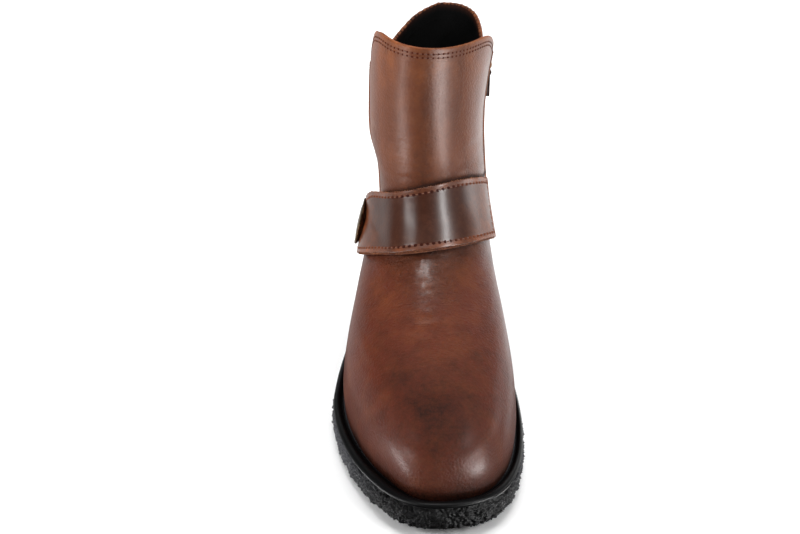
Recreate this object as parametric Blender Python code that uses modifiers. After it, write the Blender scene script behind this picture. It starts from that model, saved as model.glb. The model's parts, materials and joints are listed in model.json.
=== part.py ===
"""A biker ankle boot for the right foot, built piece by piece around one last-shaped form.

The toe points along -Y, the big-toe (inner) side is +X, and the sole stands on Z = 0.
Every piece is worked out from form(), which gives a point of the upper's outer surface for an
angle round the boot and a level from the sole's edge (0) up to the top of the shaft (1).
Sizes are in millimetres and become metres in to_mesh().
"""

import math
from collections import namedtuple

import bmesh
import bpy
import numpy as np
from mathutils import Matrix, Vector

MM = 0.001

# Driving sizes
SOLE_LENGTH = 290.0
BALL_WIDTH = 100.0
SHAFT_HEIGHT = 215.0
HEEL_HEIGHT = 33.5
FOREFOOT_HEIGHT = 15.0
TOE_HEIGHT = 20.5
TOE_SPRING = 6.0
WALL = 2.2
GAP = 0.3

# The last's sections, one row for each level from the sole's edge to the top of the shaft.
# along: share of the sole's length, toe end negative. up: share of the shaft's height.
# inner and outer: half widths as a share of the ball's width. widest: where, from heel to toe.
# waist: how far the arch pulls a side in. round: 2 is an ellipse, more is squarer.
# bed: how much of the insole's dip and rise the section follows.
SECTION_COLUMNS = (
    "level", "toe_x", "toe_along", "toe_up", "heel_x", "heel_along", "heel_up", "widest",
    "inner", "outer", "inner_waist", "outer_waist", "inner_round", "outer_round", "heel_round", "bed",
)
SECTIONS = (
    (0.00, 6.5, -0.479, 0.090, 2.0, 0.476, 0.155, 0.66, 0.465, 0.525, 0.30, 0.13, 2.70, 1.90, 2.5, 1.00),
    (0.07, 6.5, -0.481, 0.138, 2.0, 0.483, 0.214, 0.66, 0.468, 0.530, 0.27, 0.11, 2.70, 1.90, 2.5, 1.00),
    (0.15, 6.5, -0.467, 0.206, 2.0, 0.486, 0.265, 0.65, 0.453, 0.518, 0.20, 0.08, 2.60, 1.92, 2.4, 0.75),
    (0.25, 5.5, -0.417, 0.264, 2.0, 0.483, 0.326, 0.62, 0.425, 0.478, 0.12, 0.05, 2.30, 1.95, 2.3, 0.40),
    (0.37, 3.0, -0.324, 0.312, 2.0, 0.469, 0.395, 0.56, 0.395, 0.420, 0.06, 0.02, 2.10, 2.00, 2.2, 0.10),
    (0.49, 0.5, -0.207, 0.358, 2.0, 0.452, 0.474, 0.50, 0.370, 0.345, 0.00, 0.00, 2.05, 2.00, 2.1, 0.00),
    (0.60, -2.0, -0.093, 0.428, 2.0, 0.438, 0.549, 0.50, 0.350, 0.273, 0.00, 0.00, 2.00, 2.00, 2.1, 0.00),
    (0.70, -3.0, -0.007, 0.530, 2.0, 0.428, 0.633, 0.50, 0.336, 0.280, 0.00, 0.00, 2.00, 2.00, 2.1, 0.00),
    (0.80, -3.5, 0.041, 0.660, 2.5, 0.424, 0.730, 0.50, 0.325, 0.338, 0.00, 0.00, 2.00, 2.00, 2.1, 0.00),
    (0.90, -3.5, 0.059, 0.814, 4.0, 0.434, 0.856, 0.50, 0.326, 0.342, 0.00, 0.00, 2.00, 2.00, 2.1, 0.00),
    (1.00, -3.0, 0.062, 0.995, 6.0, 0.448, 1.005, 0.50, 0.336, 0.312, 0.00, 0.00, 2.00, 2.00, 2.1, 0.00),
)
WAIST_AT = 0.40
WAIST_REACH = 0.16
TOE_BLEND = 1.2

# The insole's side profile: place as a share of the sole's length, and height above the floor.
BED_COLUMNS = ("along", "height")
BED = (
    (-0.500, TOE_HEIGHT),
    (-0.431, 17.8),
    (-0.328, 15.5),
    (-0.207, FOREFOOT_HEIGHT),
    (-0.069, 17.0),
    (0.103, 24.0),
    (0.276, 31.0),
    (0.379, 33.0),
    (0.500, HEEL_HEIGHT),
)

# The collar's level by the angle from the front, on the inner (zip) and the outer side.
COLLAR_COLUMNS = ("angle", "inner", "outer")
COLLAR = (
    (0, 0.968, 0.968),
    (60, 0.958, 0.958),
    (96, 0.915, 0.900),
    (112, 0.948, 0.903),
    (135, 0.966, 0.928),
    (155, 0.969, 0.953),
    (180, 0.971, 0.971),
)

# The front panel's lower and upper edges by angle, outer side negative.
PANEL_COLUMNS = ("angle", "bottom", "top")
PANEL = (
    (-90, 0.620, 0.966),
    (-45, 0.650, 0.976),
    (0, 0.655, 0.982),
    (45, 0.630, 0.975),
    (80, 0.530, 0.963),
    (90, 0.480, 0.957),
)
PANEL_GAP = 0.5
PANEL_THICK = 1.6
PANEL_FLARE = 5.0
FLARE_FROM = 0.83
FLARE_BEND = 1.3
FLARE_ANGLE = 40.0

# Mesh density: columns round the upper and rows up each piece. No two columns lie closer than LEAST_TURN.
COLUMNS = 48
ROWS = 26
PANEL_ROWS = 10
STRAP_ROWS = 5
ZIP_ROWS = 12
ZIP_COLUMNS = 4
LEAST_TURN = 2.0

# Zip: the slit's two edges and its lowest row, and what closes it.
ZIP_EDGES = (93.0, 102.5)
ZIP_BOTTOM_ROW = 14
ZIP_SPREAD = 48.0
ZIP_LEAN_COLUMNS = ("level", "turn")
ZIP_LEAN = ((0.00, 0.0), (0.30, 9.0), (0.47, 14.0), (0.70, 7.5), (0.90, 0.0), (1.00, 0.0))
CHAIN_HALF = 2.6
TAPE_HALF = 10.0
TAPE_THICK = 0.7
TAPE_ENDS = (0.020, 0.012)
CHAIN_ENDS = (-0.008, 0.015)
ZIP_SCALE_LEVEL = 0.8
SLIDER_LEVEL = 0.898
SLIDER_SIZE = (7.0, 8.0, 2.4)
SLIDER_EDGE = 0.8
SLIDER_CLEAR = 0.1
BAIL_REACH = 2.8
BAIL_WIRE = 0.7
BAIL_SINK = 0.05
BAIL_FOOT = 0.6
PIVOT_HEIGHT = 3.6
LINK_SIZE = (9.0, 6.6)
LINK_WIRE = 0.6
TAB_WIDTH = 7.0
TAB_LENGTH = 13.0
TAB_THICK = 2.4
TAB_EYE = 2.0

# Strap over the instep: its two edges are cut by tilted planes.
StrapEdge = namedtuple("StrapEdge", "y z tilt roll")
STRAP_LOWER = StrapEdge(y=-14.0, z=97.2, tilt=20.5, roll=11.2)
STRAP_UPPER = StrapEdge(y=8.0, z=126.5, tilt=18.0, roll=10.8)
STRAP_ANGLES = (-118.0, 75.0)
STRAP_THICK = 3.0
STRAP_ROUND = 14.0
STRAP_BLUNT = 0.985
STRAP_SEARCH = (0.3, 0.95)
STUD_ANGLE = -93.0
TurnPoint = namedtuple("TurnPoint", "radius height")
STUD = (
    TurnPoint(radius=0.0, height=3.6),
    TurnPoint(radius=9.0, height=3.3),
    TurnPoint(radius=12.2, height=2.6),
    TurnPoint(radius=13.4, height=2.9),
    TurnPoint(radius=14.2, height=2.5),
    TurnPoint(radius=14.2, height=1.6),
    TurnPoint(radius=11.0, height=1.2),
    TurnPoint(radius=10.0, height=0.0),
    TurnPoint(radius=0.0, height=0.0),
)
STUD_STEPS = 28
STUD_SEAT = 6.0

# Sole: how far its edge stands out from the upper, by the angle from the toe.
MARGIN_COLUMNS = ("angle", "inner", "outer")
MARGIN = ((0, 6.8, 6.8), (45, 5.0, 4.0), (90, 4.0, 6.0), (140, 4.6, 5.0), (180, 5.0, 5.0))

# The sole's side from its top edge down: out from the margin, share of the sole's height, drop below that.
SideStep = namedtuple("SideStep", "out share drop")
SIDE = (
    SideStep(out=-1.2, share=1.00, drop=0.3),
    SideStep(out=-1.2, share=1.00, drop=1.6),
    SideStep(out=0.3, share=1.00, drop=3.0),
    SideStep(out=0.9, share=0.55, drop=0.0),
    SideStep(out=0.3, share=0.00, drop=-2.5),
    SideStep(out=-1.6, share=0.00, drop=0.0),
)

# The welt's section, from the upper outwards: share of its width, and height above the sole.
RimPoint = namedtuple("RimPoint", "share height")
WELT = (
    RimPoint(share=0.00, height=0.0),
    RimPoint(share=0.00, height=1.0),
    RimPoint(share=0.28, height=1.0),
    RimPoint(share=0.58, height=2.6),
    RimPoint(share=0.84, height=2.7),
    RimPoint(share=1.00, height=1.8),
    RimPoint(share=1.00, height=0.6),
    RimPoint(share=0.92, height=0.0),
)
WELT_INNER = 0.8
INSOLE_THICK = 3.0
INSOLE_CLEAR = 0.6
SPRING_FROM = -0.328
HEEL_BREAST = 66.0
BREAST_LEAN = 4.0
BREAST_ROUND = 1.5
ARCH_FRONT = -14.0
ARCH_HEIGHT = 12.0
FOREFOOT_BARS = tuple(-26.0 - 15.0 * i for i in range(5))
HEEL_BARS = tuple(82.0 + 14.0 * i for i in range(4))
GROOVE_WIDE = 3.6
GROOVE_DEEP = 2.4
GROOVE_INSET = 7.0
BELOW_FLOOR = 5.0


def smooth_through(knots, values, at):
    """A curve through the values that never overshoots between two of them."""
    knots, values, at = (np.asarray(a, float) for a in (knots, values, at))
    step = np.diff(knots)
    slope = np.diff(values) / step
    tangent = np.zeros_like(values)
    tangent[0], tangent[-1] = slope[0], slope[-1]
    for i in range(1, len(knots) - 1):
        if slope[i - 1] * slope[i] > 0:
            before, after = 2 * step[i] + step[i - 1], step[i] + 2 * step[i - 1]
            tangent[i] = (before + after) / (before / slope[i - 1] + after / slope[i])
    i = np.clip(np.searchsorted(knots, at) - 1, 0, len(knots) - 2)
    s = (at - knots[i]) / step[i]
    rise = s * s * (3 - 2 * s)
    bend = step[i] * (s * (1 - s) ** 2 * tangent[i] + s * s * (s - 1) * tangent[i + 1])
    return values[i] * (1 - rise) + values[i + 1] * rise + bend


def column(table, names, name, at):
    """One named column of a table, read at places along its first column."""
    rows = np.array(table, float)
    return smooth_through(rows[:, 0], rows[:, names.index(name)], at)


def by_side(table, names, angle):
    """A table's inner column on the inner side, and its outer column on the outer side."""
    turned = (np.asarray(angle, float) + 180) % 360 - 180
    inner, outer = (column(table, names, side, np.abs(turned)) for side in ("inner", "outer"))
    return np.where(turned > 0, inner, outer)


def bed(y):
    """Height of the insole board's underside above the floor."""
    share = np.clip(np.asarray(y, float) / SOLE_LENGTH, -0.5, 0.5)
    return column(BED, BED_COLUMNS, "height", share)


def floor_line(y):
    """Height of the tread: flat, then lifted at the toe."""
    start = SPRING_FROM * SOLE_LENGTH
    lift = np.clip((start - np.asarray(y, float)) / (start + SOLE_LENGTH / 2), 0, None)
    return TOE_SPRING * lift**2


def form(angle, level):
    """A point of the upper's outer surface. Angles are degrees from the toe towards the inner side."""
    angle, level = np.broadcast_arrays(np.asarray(angle, float), np.asarray(level, float))
    at = {name: column(SECTIONS, SECTION_COLUMNS, name, level) for name in SECTION_COLUMNS[1:]}
    forward, side = np.cos(np.radians(angle)), np.sin(np.radians(angle))
    to_inner = np.clip(0.5 + side / TOE_BLEND, 0, 1)
    to_inner = to_inner * to_inner * (3 - 2 * to_inner)
    front_round = at["outer_round"] + (at["inner_round"] - at["outer_round"]) * to_inner
    power = 2 / np.where(forward > 0, front_round, at["heel_round"])
    reach = np.where(forward > 0, 1 - at["widest"], at["widest"])
    share = at["widest"] + reach * np.sign(forward) * np.abs(forward) ** power
    waist = np.where(side > 0, at["inner_waist"], at["outer_waist"])
    pulled_in = 1 - waist * np.exp(-(((share - WAIST_AT) / WAIST_REACH) ** 2))
    half = np.where(side > 0, at["inner"], at["outer"]) * BALL_WIDTH * pulled_in
    toe_y, heel_y = at["toe_along"] * SOLE_LENGTH, at["heel_along"] * SOLE_LENGTH
    x = at["heel_x"] + (at["toe_x"] - at["heel_x"]) * share + half * np.sign(side) * np.abs(side) ** power
    y = heel_y + (toe_y - heel_y) * share
    straight = (at["heel_up"] + (at["toe_up"] - at["heel_up"]) * share) * SHAFT_HEIGHT
    dip = bed(y) - bed(heel_y) - (bed(toe_y) - bed(heel_y)) * share
    return np.stack([x, y, straight + at["bed"] * dip], -1)


def outward(angle, level, step=0.001):
    """The form's outward direction."""
    turn = math.degrees(step)
    around = form(np.asarray(angle) + turn, level) - form(np.asarray(angle) - turn, level)
    above, below = np.minimum(np.asarray(level) + step, 1), np.maximum(np.asarray(level) - step, 0)
    up = form(angle, above) - form(angle, below)
    normal = np.cross(around, up)
    return normal / np.linalg.norm(normal, axis=-1, keepdims=True)


def skin(angle, level, off):
    """The form's surface moved out by off."""
    return form(angle, level) + outward(angle, level) * np.asarray(off, float)[..., None]


def collar(angle):
    """The level at which the upper ends."""
    return by_side(COLLAR, COLLAR_COLUMNS, angle)


def sole_edge(angle, out):
    """The sole's outline in plan, out from the upper's lowest edge."""
    turn = 0.05
    point = form(angle, 0.0)
    along = form(np.asarray(angle) + turn, 0.0) - form(np.asarray(angle) - turn, 0.0)
    normal = np.stack([along[..., 1], -along[..., 0]], -1)
    normal /= np.linalg.norm(normal, axis=-1, keepdims=True)
    return point[..., :2] + normal * np.asarray(out, float)[..., None]


def margin(angle):
    """How far the sole stands out from the upper."""
    return by_side(MARGIN, MARGIN_COLUMNS, angle)


def round_angles():
    """Columns round the boot, with one on each edge of the zip's slit."""
    even = np.arange(COLUMNS) * 360.0 / COLUMNS
    spacing = 0.45 * 360.0 / COLUMNS
    clear = [a for a in even if not ZIP_EDGES[0] - spacing < a < ZIP_EDGES[1] + spacing]
    return np.array(sorted([*clear, *ZIP_EDGES]))


def angles_between(low, high):
    """The upper's columns from low to high degrees, with both ends."""
    around = round_angles()
    wrapped = sorted([*(around - 360), *around])
    return np.array([low, *[a for a in wrapped if low + LEAST_TURN < a < high - LEAST_TURN], high])


def zip_angle(level, aside=0.0):
    """Angle of the zip's middle, or of a line aside from it, turned back below the collar to run straight."""
    return np.mean(ZIP_EDGES) + aside + column(ZIP_LEAN, ZIP_LEAN_COLUMNS, "turn", level)


def to_mesh(name, points, faces, material):
    """An object from points in millimetres and the faces between them."""
    mesh = bpy.data.meshes.new(name)
    mesh.from_pydata([tuple(np.asarray(p) * MM) for p in points], [], faces)
    obj = bpy.data.objects.new(name, mesh)
    mesh.materials.append(material)
    BOOT.objects.link(obj)
    return obj


def face_outwards(obj):
    """Merges doubles and turns a closed mesh's faces outwards."""
    shape = bmesh.new()
    shape.from_mesh(obj.data)
    bmesh.ops.remove_doubles(shape, verts=shape.verts, dist=0.00001)
    bmesh.ops.recalc_face_normals(shape, faces=shape.faces)
    shape.to_mesh(obj.data)
    shape.free()


def shade(obj, angle=40):
    obj.data.shade_smooth()
    obj.data.set_sharp_from_angle(angle=math.radians(angle))


def sheet(name, grid, material, closed=False, skip=None):
    """An open surface through a grid of points, rows upwards and columns round the boot."""
    rows, columns = grid.shape[:2]
    faces = []
    for r in range(rows - 1):
        for c in range(columns if closed else columns - 1):
            if skip and skip(r, c):
                continue
            d = (c + 1) % columns
            faces.append((r * columns + c, r * columns + d, (r + 1) * columns + d, (r + 1) * columns + c))
    return to_mesh(name, grid.reshape(-1, 3), faces, material)


def thicken(obj, thickness, outwards):
    """Gives an open surface its wall."""
    wall = obj.modifiers.new("wall", "SOLIDIFY")
    wall.thickness = thickness * MM
    wall.offset = 1 if outwards else -1
    wall.use_even_offset = True
    wall.use_quality_normals = True
    shade(obj)


def slab(name, rings, material, ring_shape=False):
    """A closed solid through rings of equal count: a tube, or a plate with its two ends closed."""
    count = len(rings[0])
    faces = []
    for r in range(len(rings) if ring_shape else len(rings) - 1):
        low, high = r * count, ((r + 1) % len(rings)) * count
        faces += [(low + c, low + (c + 1) % count, high + (c + 1) % count, high + c) for c in range(count)]
    if not ring_shape:
        for start in (0, (len(rings) - 1) * count):
            for c in range(count // 2):
                rung = (c, c + 1, (count - c - 1) % count, (count - c) % count)
                faces.append(tuple(dict.fromkeys(start + i for i in rung)))
    obj = to_mesh(name, np.concatenate(rings), faces, material)
    face_outwards(obj)
    shade(obj)
    return obj


def prism(name, outline, low_x, high_x):
    """A cutter: an outline in Y and Z, drawn across from low_x to high_x."""
    shape = bmesh.new()
    base = shape.faces.new([shape.verts.new((low_x * MM, y * MM, z * MM)) for y, z in outline])
    drawn = bmesh.ops.extrude_face_region(shape, geom=[base])
    moved = [v for v in drawn["geom"] if isinstance(v, bmesh.types.BMVert)]
    bmesh.ops.translate(shape, verts=moved, vec=((high_x - low_x) * MM, 0, 0))
    bmesh.ops.recalc_face_normals(shape, faces=shape.faces)
    mesh = bpy.data.meshes.new(name)
    shape.to_mesh(mesh)
    shape.free()
    obj = bpy.data.objects.new(name, mesh)
    CUTTERS.objects.link(obj)
    obj.hide_render = True
    obj.display_type = "WIRE"
    return obj


def cut(obj, cutter, operation="DIFFERENCE"):
    boolean = obj.modifiers.new(cutter.name, "BOOLEAN")
    boolean.operation = operation
    boolean.object = cutter


def finish(name, color, roughness, metallic=0.0):
    """A material with one colour and gloss."""
    made = bpy.data.materials.new(name)
    made.use_nodes = True
    shader = made.node_tree.nodes["Principled BSDF"]
    shader.inputs["Base Color"].default_value = (*color, 1)
    shader.inputs["Roughness"].default_value = roughness
    shader.inputs["Metallic"].default_value = metallic
    return made


def plan_ring(angles, out, height):
    """A ring in plan at the sole's edge, its height a function of y."""
    edge = sole_edge(angles, out)
    return np.column_stack([edge, height(edge[:, 1])])


def make_outsole():
    """Rubber sole unit: stepped side, arch, heel, and bars across its tread."""
    angles = round_angles()
    rings = []
    for step in SIDE:
        def height(y, step=step):
            return floor_line(y) + step.share * (bed(y) - floor_line(y)) - step.drop
        rings.append(plan_ring(angles, margin(angles) + step.out, height))
    sole = slab("outsole", rings, RUBBER)
    cut(sole, make_arch_cutter())
    for y in FOREFOOT_BARS + HEEL_BARS:
        cut(sole, make_groove_cutter(y))


def make_arch_cutter():
    """What is cut away between heel and forefoot: a sloping heel breast and a long arch."""
    steps = 8
    curve = []
    for i in range(steps + 1):
        turn = math.pi / 2 * i / steps
        reach = HEEL_BREAST - 2 * BREAST_LEAN - ARCH_FRONT
        curve.append((ARCH_FRONT + reach * (1 - math.cos(turn)), ARCH_HEIGHT * math.sin(turn)))
    breast = [(HEEL_BREAST - BREAST_LEAN, ARCH_HEIGHT - BREAST_ROUND), (HEEL_BREAST, -BELOW_FLOOR)]
    outline = [(ARCH_FRONT, -BELOW_FLOOR), *curve, *breast]
    return prism("arch_cutter", outline, -BALL_WIDTH, BALL_WIDTH)


def make_groove_cutter(y):
    """A groove across the tread that stops short of both edges."""
    half_round = np.arange(0.0, 181.0, 2.0)
    outer, inner = (sole_edge(side * half_round, -GROOVE_INSET) for side in (-1, 1))
    low_x, high_x = (np.interp(y, edge[:, 1], edge[:, 0]) for edge in (outer, inner))
    front, back = y - GROOVE_WIDE / 2, y + GROOVE_WIDE / 2
    top = float(floor_line(y)) + GROOVE_DEEP
    outline = [(front, -BELOW_FLOOR), (back, -BELOW_FLOOR), (back, top), (front, top)]
    return prism(f"groove_{y:.0f}", outline, low_x, high_x)


def make_welt():
    """Smooth raised rim between the upper and the sole's side."""
    angles = round_angles()
    rings = []
    for point in WELT:
        out = WELT_INNER + point.share * (margin(angles) - WELT_INNER)
        rings.append(plan_ring(angles, out, lambda y, h=point.height: bed(y) + h))
    slab("welt", rings, RUBBER, ring_shape=True)


def make_insole():
    """Board inside the upper, on the sole."""
    angles = round_angles()
    inset = np.full(len(angles), -WALL - INSOLE_CLEAR)
    rings = [plan_ring(angles, inset, lambda y, h=h: bed(y) + h) for h in (0.0, INSOLE_THICK)]
    slab("insole", rings, LINING)


def make_upper():
    """Hollow leather upper and shaft in one wall, open below and at the collar, slit for the zip."""
    angles = round_angles()
    levels = np.linspace(0, 1, ROWS + 1)[:, None] * collar(angles)[None, :]
    middle, half = np.mean(ZIP_EDGES), np.ptp(ZIP_EDGES) / 2
    near = np.clip((ZIP_SPREAD - np.abs(angles - middle)) / (ZIP_SPREAD - half), 0, 1)
    turned = angles + (zip_angle(levels) - middle) * near * near * (3 - 2 * near)
    first = int(np.where(angles == ZIP_EDGES[0])[0][0])

    def in_slit(row, col):
        return col == first and row >= ZIP_BOTTOM_ROW

    upper = sheet("upper", form(turned, levels), LEATHER, closed=True, skip=in_slit)
    thicken(upper, WALL, outwards=False)


def make_front_panel():
    """Raw-edged panel over the shaft's front, its inner top corner standing off over the zip."""
    angles = angles_between(PANEL[0][0], PANEL[-1][0])
    bottom = column(PANEL, PANEL_COLUMNS, "bottom", angles)
    top = column(PANEL, PANEL_COLUMNS, "top", angles)
    levels = bottom + (top - bottom) * np.linspace(0, 1, PANEL_ROWS + 1)[:, None]
    corner = np.clip((levels - FLARE_FROM) / (top.max() - FLARE_FROM), 0, 1) ** FLARE_BEND
    edge = np.clip((angles - FLARE_ANGLE) / (PANEL[-1][0] - FLARE_ANGLE), 0, 1) ** 2
    panel = sheet("front_panel", skin(angles, levels, PANEL_GAP + PANEL_FLARE * corner * edge), LEATHER)
    thicken(panel, PANEL_THICK, outwards=True)


def strap_level(angle, off, edge):
    """The level at which the surface off the form crosses one of the strap's edge planes."""
    fall, rise = math.tan(math.radians(edge.tilt)), math.tan(math.radians(edge.roll))
    low, high = (np.full_like(angle, level) for level in STRAP_SEARCH)
    for _ in range(30):
        middle = (low + high) / 2
        p = skin(angle, middle, off)
        below = p[..., 2] < edge.z - fall * (p[..., 1] - edge.y) + rise * p[..., 0]
        low, high = np.where(below, middle, low), np.where(below, high, middle)
    return (low + high) / 2


def strap_surface(angles, across):
    """The strap's inner face: columns along it and rows from its lower to its upper edge.

    It follows the form, and spans straight over the hollow of the instep and the ankle.
    """
    over_panel = PANEL_GAP + PANEL_THICK + GAP
    past = np.clip((STRAP_ANGLES[0] + STRAP_ROUND - angles) / STRAP_ROUND, 0, 1)
    off = over_panel + (GAP - over_panel) * past * past * (3 - 2 * past)
    low, high = strap_level(angles, off, STRAP_LOWER), strap_level(angles, off, STRAP_UPPER)
    into_end = np.clip(1 - (angles - STRAP_ANGLES[0]) / STRAP_ROUND, 0, STRAP_BLUNT)
    half = (high - low) / 2 * np.sqrt(1 - into_end**2)
    middle = (low + high) / 2
    levels = middle + half * (2 * across[:, None] - 1)
    close, out = skin(angles, levels, off), outward(angles, levels)
    straight = close[0] + (close[-1] - close[0]) * across[:, None, None]
    lift = np.clip(np.sum((straight - close) * out, -1, keepdims=True), 0, None)
    return close + out * lift


def make_strap():
    """Wide strap over the instep, sewn at the inner side and studded at the outer side."""
    start, end = STRAP_ANGLES
    rounding = np.linspace(start, start + STRAP_ROUND, 5)
    angles = np.array(sorted({*angles_between(start, end), *rounding}))
    strap = sheet("strap", strap_surface(angles, np.linspace(0, 1, STRAP_ROWS + 1)), LEATHER)
    thicken(strap, STRAP_THICK, outwards=True)


def spot_frame(patch, off):
    """Matrix at the middle of a patch of three by three points: X round the boot, Y up it and Z out of it."""
    around, up = Vector(patch[1, 2] - patch[1, 0]), Vector(patch[2, 1] - patch[0, 1])
    out = around.cross(up).normalized()
    side = up.cross(out).normalized()
    frame = Matrix((side, out.cross(side), out)).transposed().to_4x4()
    frame.translation = (Vector(patch[1, 1]) + out * off) * MM
    return frame


def make_stud():
    """Round metal stud that fastens the strap, turned."""
    points = [(point.radius, 0, point.height) for point in STUD]
    mesh = bpy.data.meshes.new("strap_stud")
    edges = [(i, i + 1) for i in range(len(points) - 1)]
    mesh.from_pydata([tuple(v * MM for v in p) for p in points], edges, [])
    mesh.materials.append(BRASS)
    stud = bpy.data.objects.new("strap_stud", mesh)
    BOOT.objects.link(stud)
    turned = stud.modifiers.new("turned", "SCREW")
    turned.steps = turned.render_steps = STUD_STEPS
    turned.use_merge_vertices = True
    turned.merge_threshold = 0.00005
    patch = strap_surface(STUD_ANGLE + STUD_SEAT * np.array([-1, 0, 1]), np.array([0.0, 0.5, 1.0]))
    stud.matrix_world = spot_frame(patch, STRAP_THICK + GAP)


def zip_grid(half, below, above):
    """Angles and levels of a zip piece as wide as twice half, from below the slit to under the collar."""
    middle = np.mean(ZIP_EDGES)
    ring = form(np.array([middle - 1, middle + 1]), ZIP_SCALE_LEVEL)
    per_mm = 2 / np.linalg.norm(ring[1] - ring[0])
    aside = np.linspace(-half, half, ZIP_COLUMNS + 1) * per_mm
    bottom = ZIP_BOTTOM_ROW / ROWS * collar(middle) - below
    top = collar(middle + aside) - above
    levels = bottom + (top - bottom) * np.linspace(0, 1, ZIP_ROWS + 1)[:, None]
    return zip_angle(levels, aside), levels


def make_zip_tape():
    """Woven tape behind the slit."""
    angles, levels = zip_grid(TAPE_HALF, *TAPE_ENDS)
    tape = sheet("zip_tape", skin(angles, levels, -WALL - GAP), TAPE)
    thicken(tape, TAPE_THICK, outwards=False)


def make_zip_chain():
    """The closed row of teeth, in the slit."""
    angles, levels = zip_grid(CHAIN_HALF, *CHAIN_ENDS)
    chain = sheet("zip_chain", skin(angles, levels, -GAP), BRASS)
    thicken(chain, WALL - GAP, outwards=False)


def zip_frame(off):
    """Matrix at the slider's place on the zip."""
    levels = SLIDER_LEVEL + np.array([-0.01, 0.0, 0.01])[:, None]
    return spot_frame(form(zip_angle(levels, np.array([-1.0, 0.0, 1.0])), levels), off)


def make_zip_slider():
    """Slider body with the bail that the pull hangs on."""
    width, length, height = SLIDER_SIZE
    bpy.ops.mesh.primitive_cube_add(size=1)
    body = bpy.context.object
    body.name = "zip_slider"
    body.data.transform(Matrix.Diagonal((width * MM, length * MM, height * MM, 1)))
    body.data.transform(Matrix.Translation((0, 0, height / 2 * MM)))
    rounded = body.modifiers.new("rounded", "BEVEL")
    rounded.width = SLIDER_EDGE * MM
    rounded.segments = 2
    bpy.ops.mesh.primitive_torus_add(
        major_radius=BAIL_REACH * MM, minor_radius=BAIL_WIRE * MM, major_segments=24, minor_segments=8,
    )
    bail = bpy.context.object
    bail.name = "bail"
    bail.data.transform(Matrix.Rotation(math.pi / 2, 4, "Y"))
    bail.data.transform(Matrix.Translation((0, 0, (height - BAIL_SINK) * MM)))
    place = zip_frame(SLIDER_CLEAR)
    body.matrix_world = bail.matrix_world = place
    for obj, collection in ((body, BOOT), (bail, CUTTERS)):
        for other in list(obj.users_collection):
            other.objects.unlink(obj)
        collection.objects.link(obj)
    bail.hide_render = True
    bail.display_type = "WIRE"
    outline = ((-length, -length), (length, -length), (length, BAIL_FOOT), (-length, BAIL_FOOT))
    underside = prism("bail_trim", outline, -width, width)
    underside.matrix_world = place
    cut(bail, underside)
    cut(body, bail, "UNION")
    body.data.materials.append(BRASS)


def hanging(pivot):
    """Empty on the pull's hinge, its Y axis straight up so that the pull hangs down."""
    around = zip_frame(0).to_3x3().col[0].normalized()
    up = (Vector((0, 0, 1)) - around * around.z).normalized()
    frame = Matrix((around, up, around.cross(up))).transposed().to_4x4()
    frame.translation = pivot
    empty = bpy.data.objects.new("zip_pull_hinge", None)
    BOOT.objects.link(empty)
    empty.matrix_world = frame
    return empty


def make_zip_pull():
    """Wire link through the bail, and the leather tab folded round its lower bar."""
    hinge = hanging(zip_frame(SLIDER_CLEAR) @ Vector((0, 0, PIVOT_HEIGHT * MM)))
    wide, long = LINK_SIZE
    curve = bpy.data.curves.new("zip_pull_link", "CURVE")
    curve.dimensions = "3D"
    curve.bevel_depth = LINK_WIRE * MM
    curve.bevel_resolution = 2
    loop = curve.splines.new("POLY")
    corners = [(-wide / 2, 0), (wide / 2, 0), (wide / 2, -long), (-wide / 2, -long)]
    loop.points.add(len(corners) - 1)
    for point, (x, y) in zip(loop.points, corners):
        point.co = (x * MM, y * MM, 0, 1)
    loop.use_cyclic_u = True
    curve.materials.append(BRASS)
    link = bpy.data.objects.new("zip_pull_link", curve)
    BOOT.objects.link(link)
    link.parent = hinge
    make_tab(hinge, -long)


def make_tab(hinge, bar):
    """Leather tab: an eye round the link's lower bar, closing into a flat tail."""
    eye, hole = TAB_EYE, LINK_WIRE + GAP
    flat = TAB_THICK / 2
    start = math.degrees(math.asin(flat / eye))
    turns = np.radians(np.linspace(-90 + start, 270 - start, 17))
    outer = [(bar + eye * math.sin(a), eye * math.cos(a)) for a in turns]
    outer += [(bar - TAB_LENGTH, -flat), (bar - TAB_LENGTH, flat)]
    inner = [(bar + hole * math.sin(a), hole * math.cos(a)) for a in np.radians(np.arange(0, 360, 30))]
    curve = bpy.data.curves.new("zip_pull_tab", "CURVE")
    curve.dimensions = "2D"
    curve.fill_mode = "BOTH"
    curve.extrude = TAB_WIDTH / 2 * MM
    for outline in (outer, inner):
        spline = curve.splines.new("POLY")
        spline.points.add(len(outline) - 1)
        for point, (y, z) in zip(spline.points, outline):
            point.co = (y * MM, z * MM, 0, 1)
        spline.use_cyclic_u = True
    curve.materials.append(LEATHER)
    tab = bpy.data.objects.new("zip_pull_tab", curve)
    BOOT.objects.link(tab)
    tab.parent = hinge
    tab.matrix_parent_inverse = Matrix.Identity(4)
    tab.matrix_local = Matrix(((0, 0, 1, 0), (1, 0, 0, 0), (0, 1, 0, 0), (0, 0, 0, 1)))


def stand_on_origin():
    """Parents every piece to an empty that brings the middle of the sole's outline to the origin."""
    edge = np.array([v.co[:2] for v in bpy.data.objects["outsole"].data.vertices])
    middle = (edge.min(0) + edge.max(0)) / 2
    ground = bpy.data.objects.new("ground_middle", None)
    BOOT.objects.link(ground)
    for obj in [*BOOT.objects, *CUTTERS.objects]:
        if obj.parent is None and obj != ground:
            obj.parent = ground
    ground.location = (-middle[0], -middle[1], 0)


for old in list(bpy.data.objects):
    bpy.data.objects.remove(old)
BOOT = bpy.data.collections.new("biker_boot")
CUTTERS = bpy.data.collections.new("cutters")
for made in (BOOT, CUTTERS):
    bpy.context.scene.collection.children.link(made)

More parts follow.
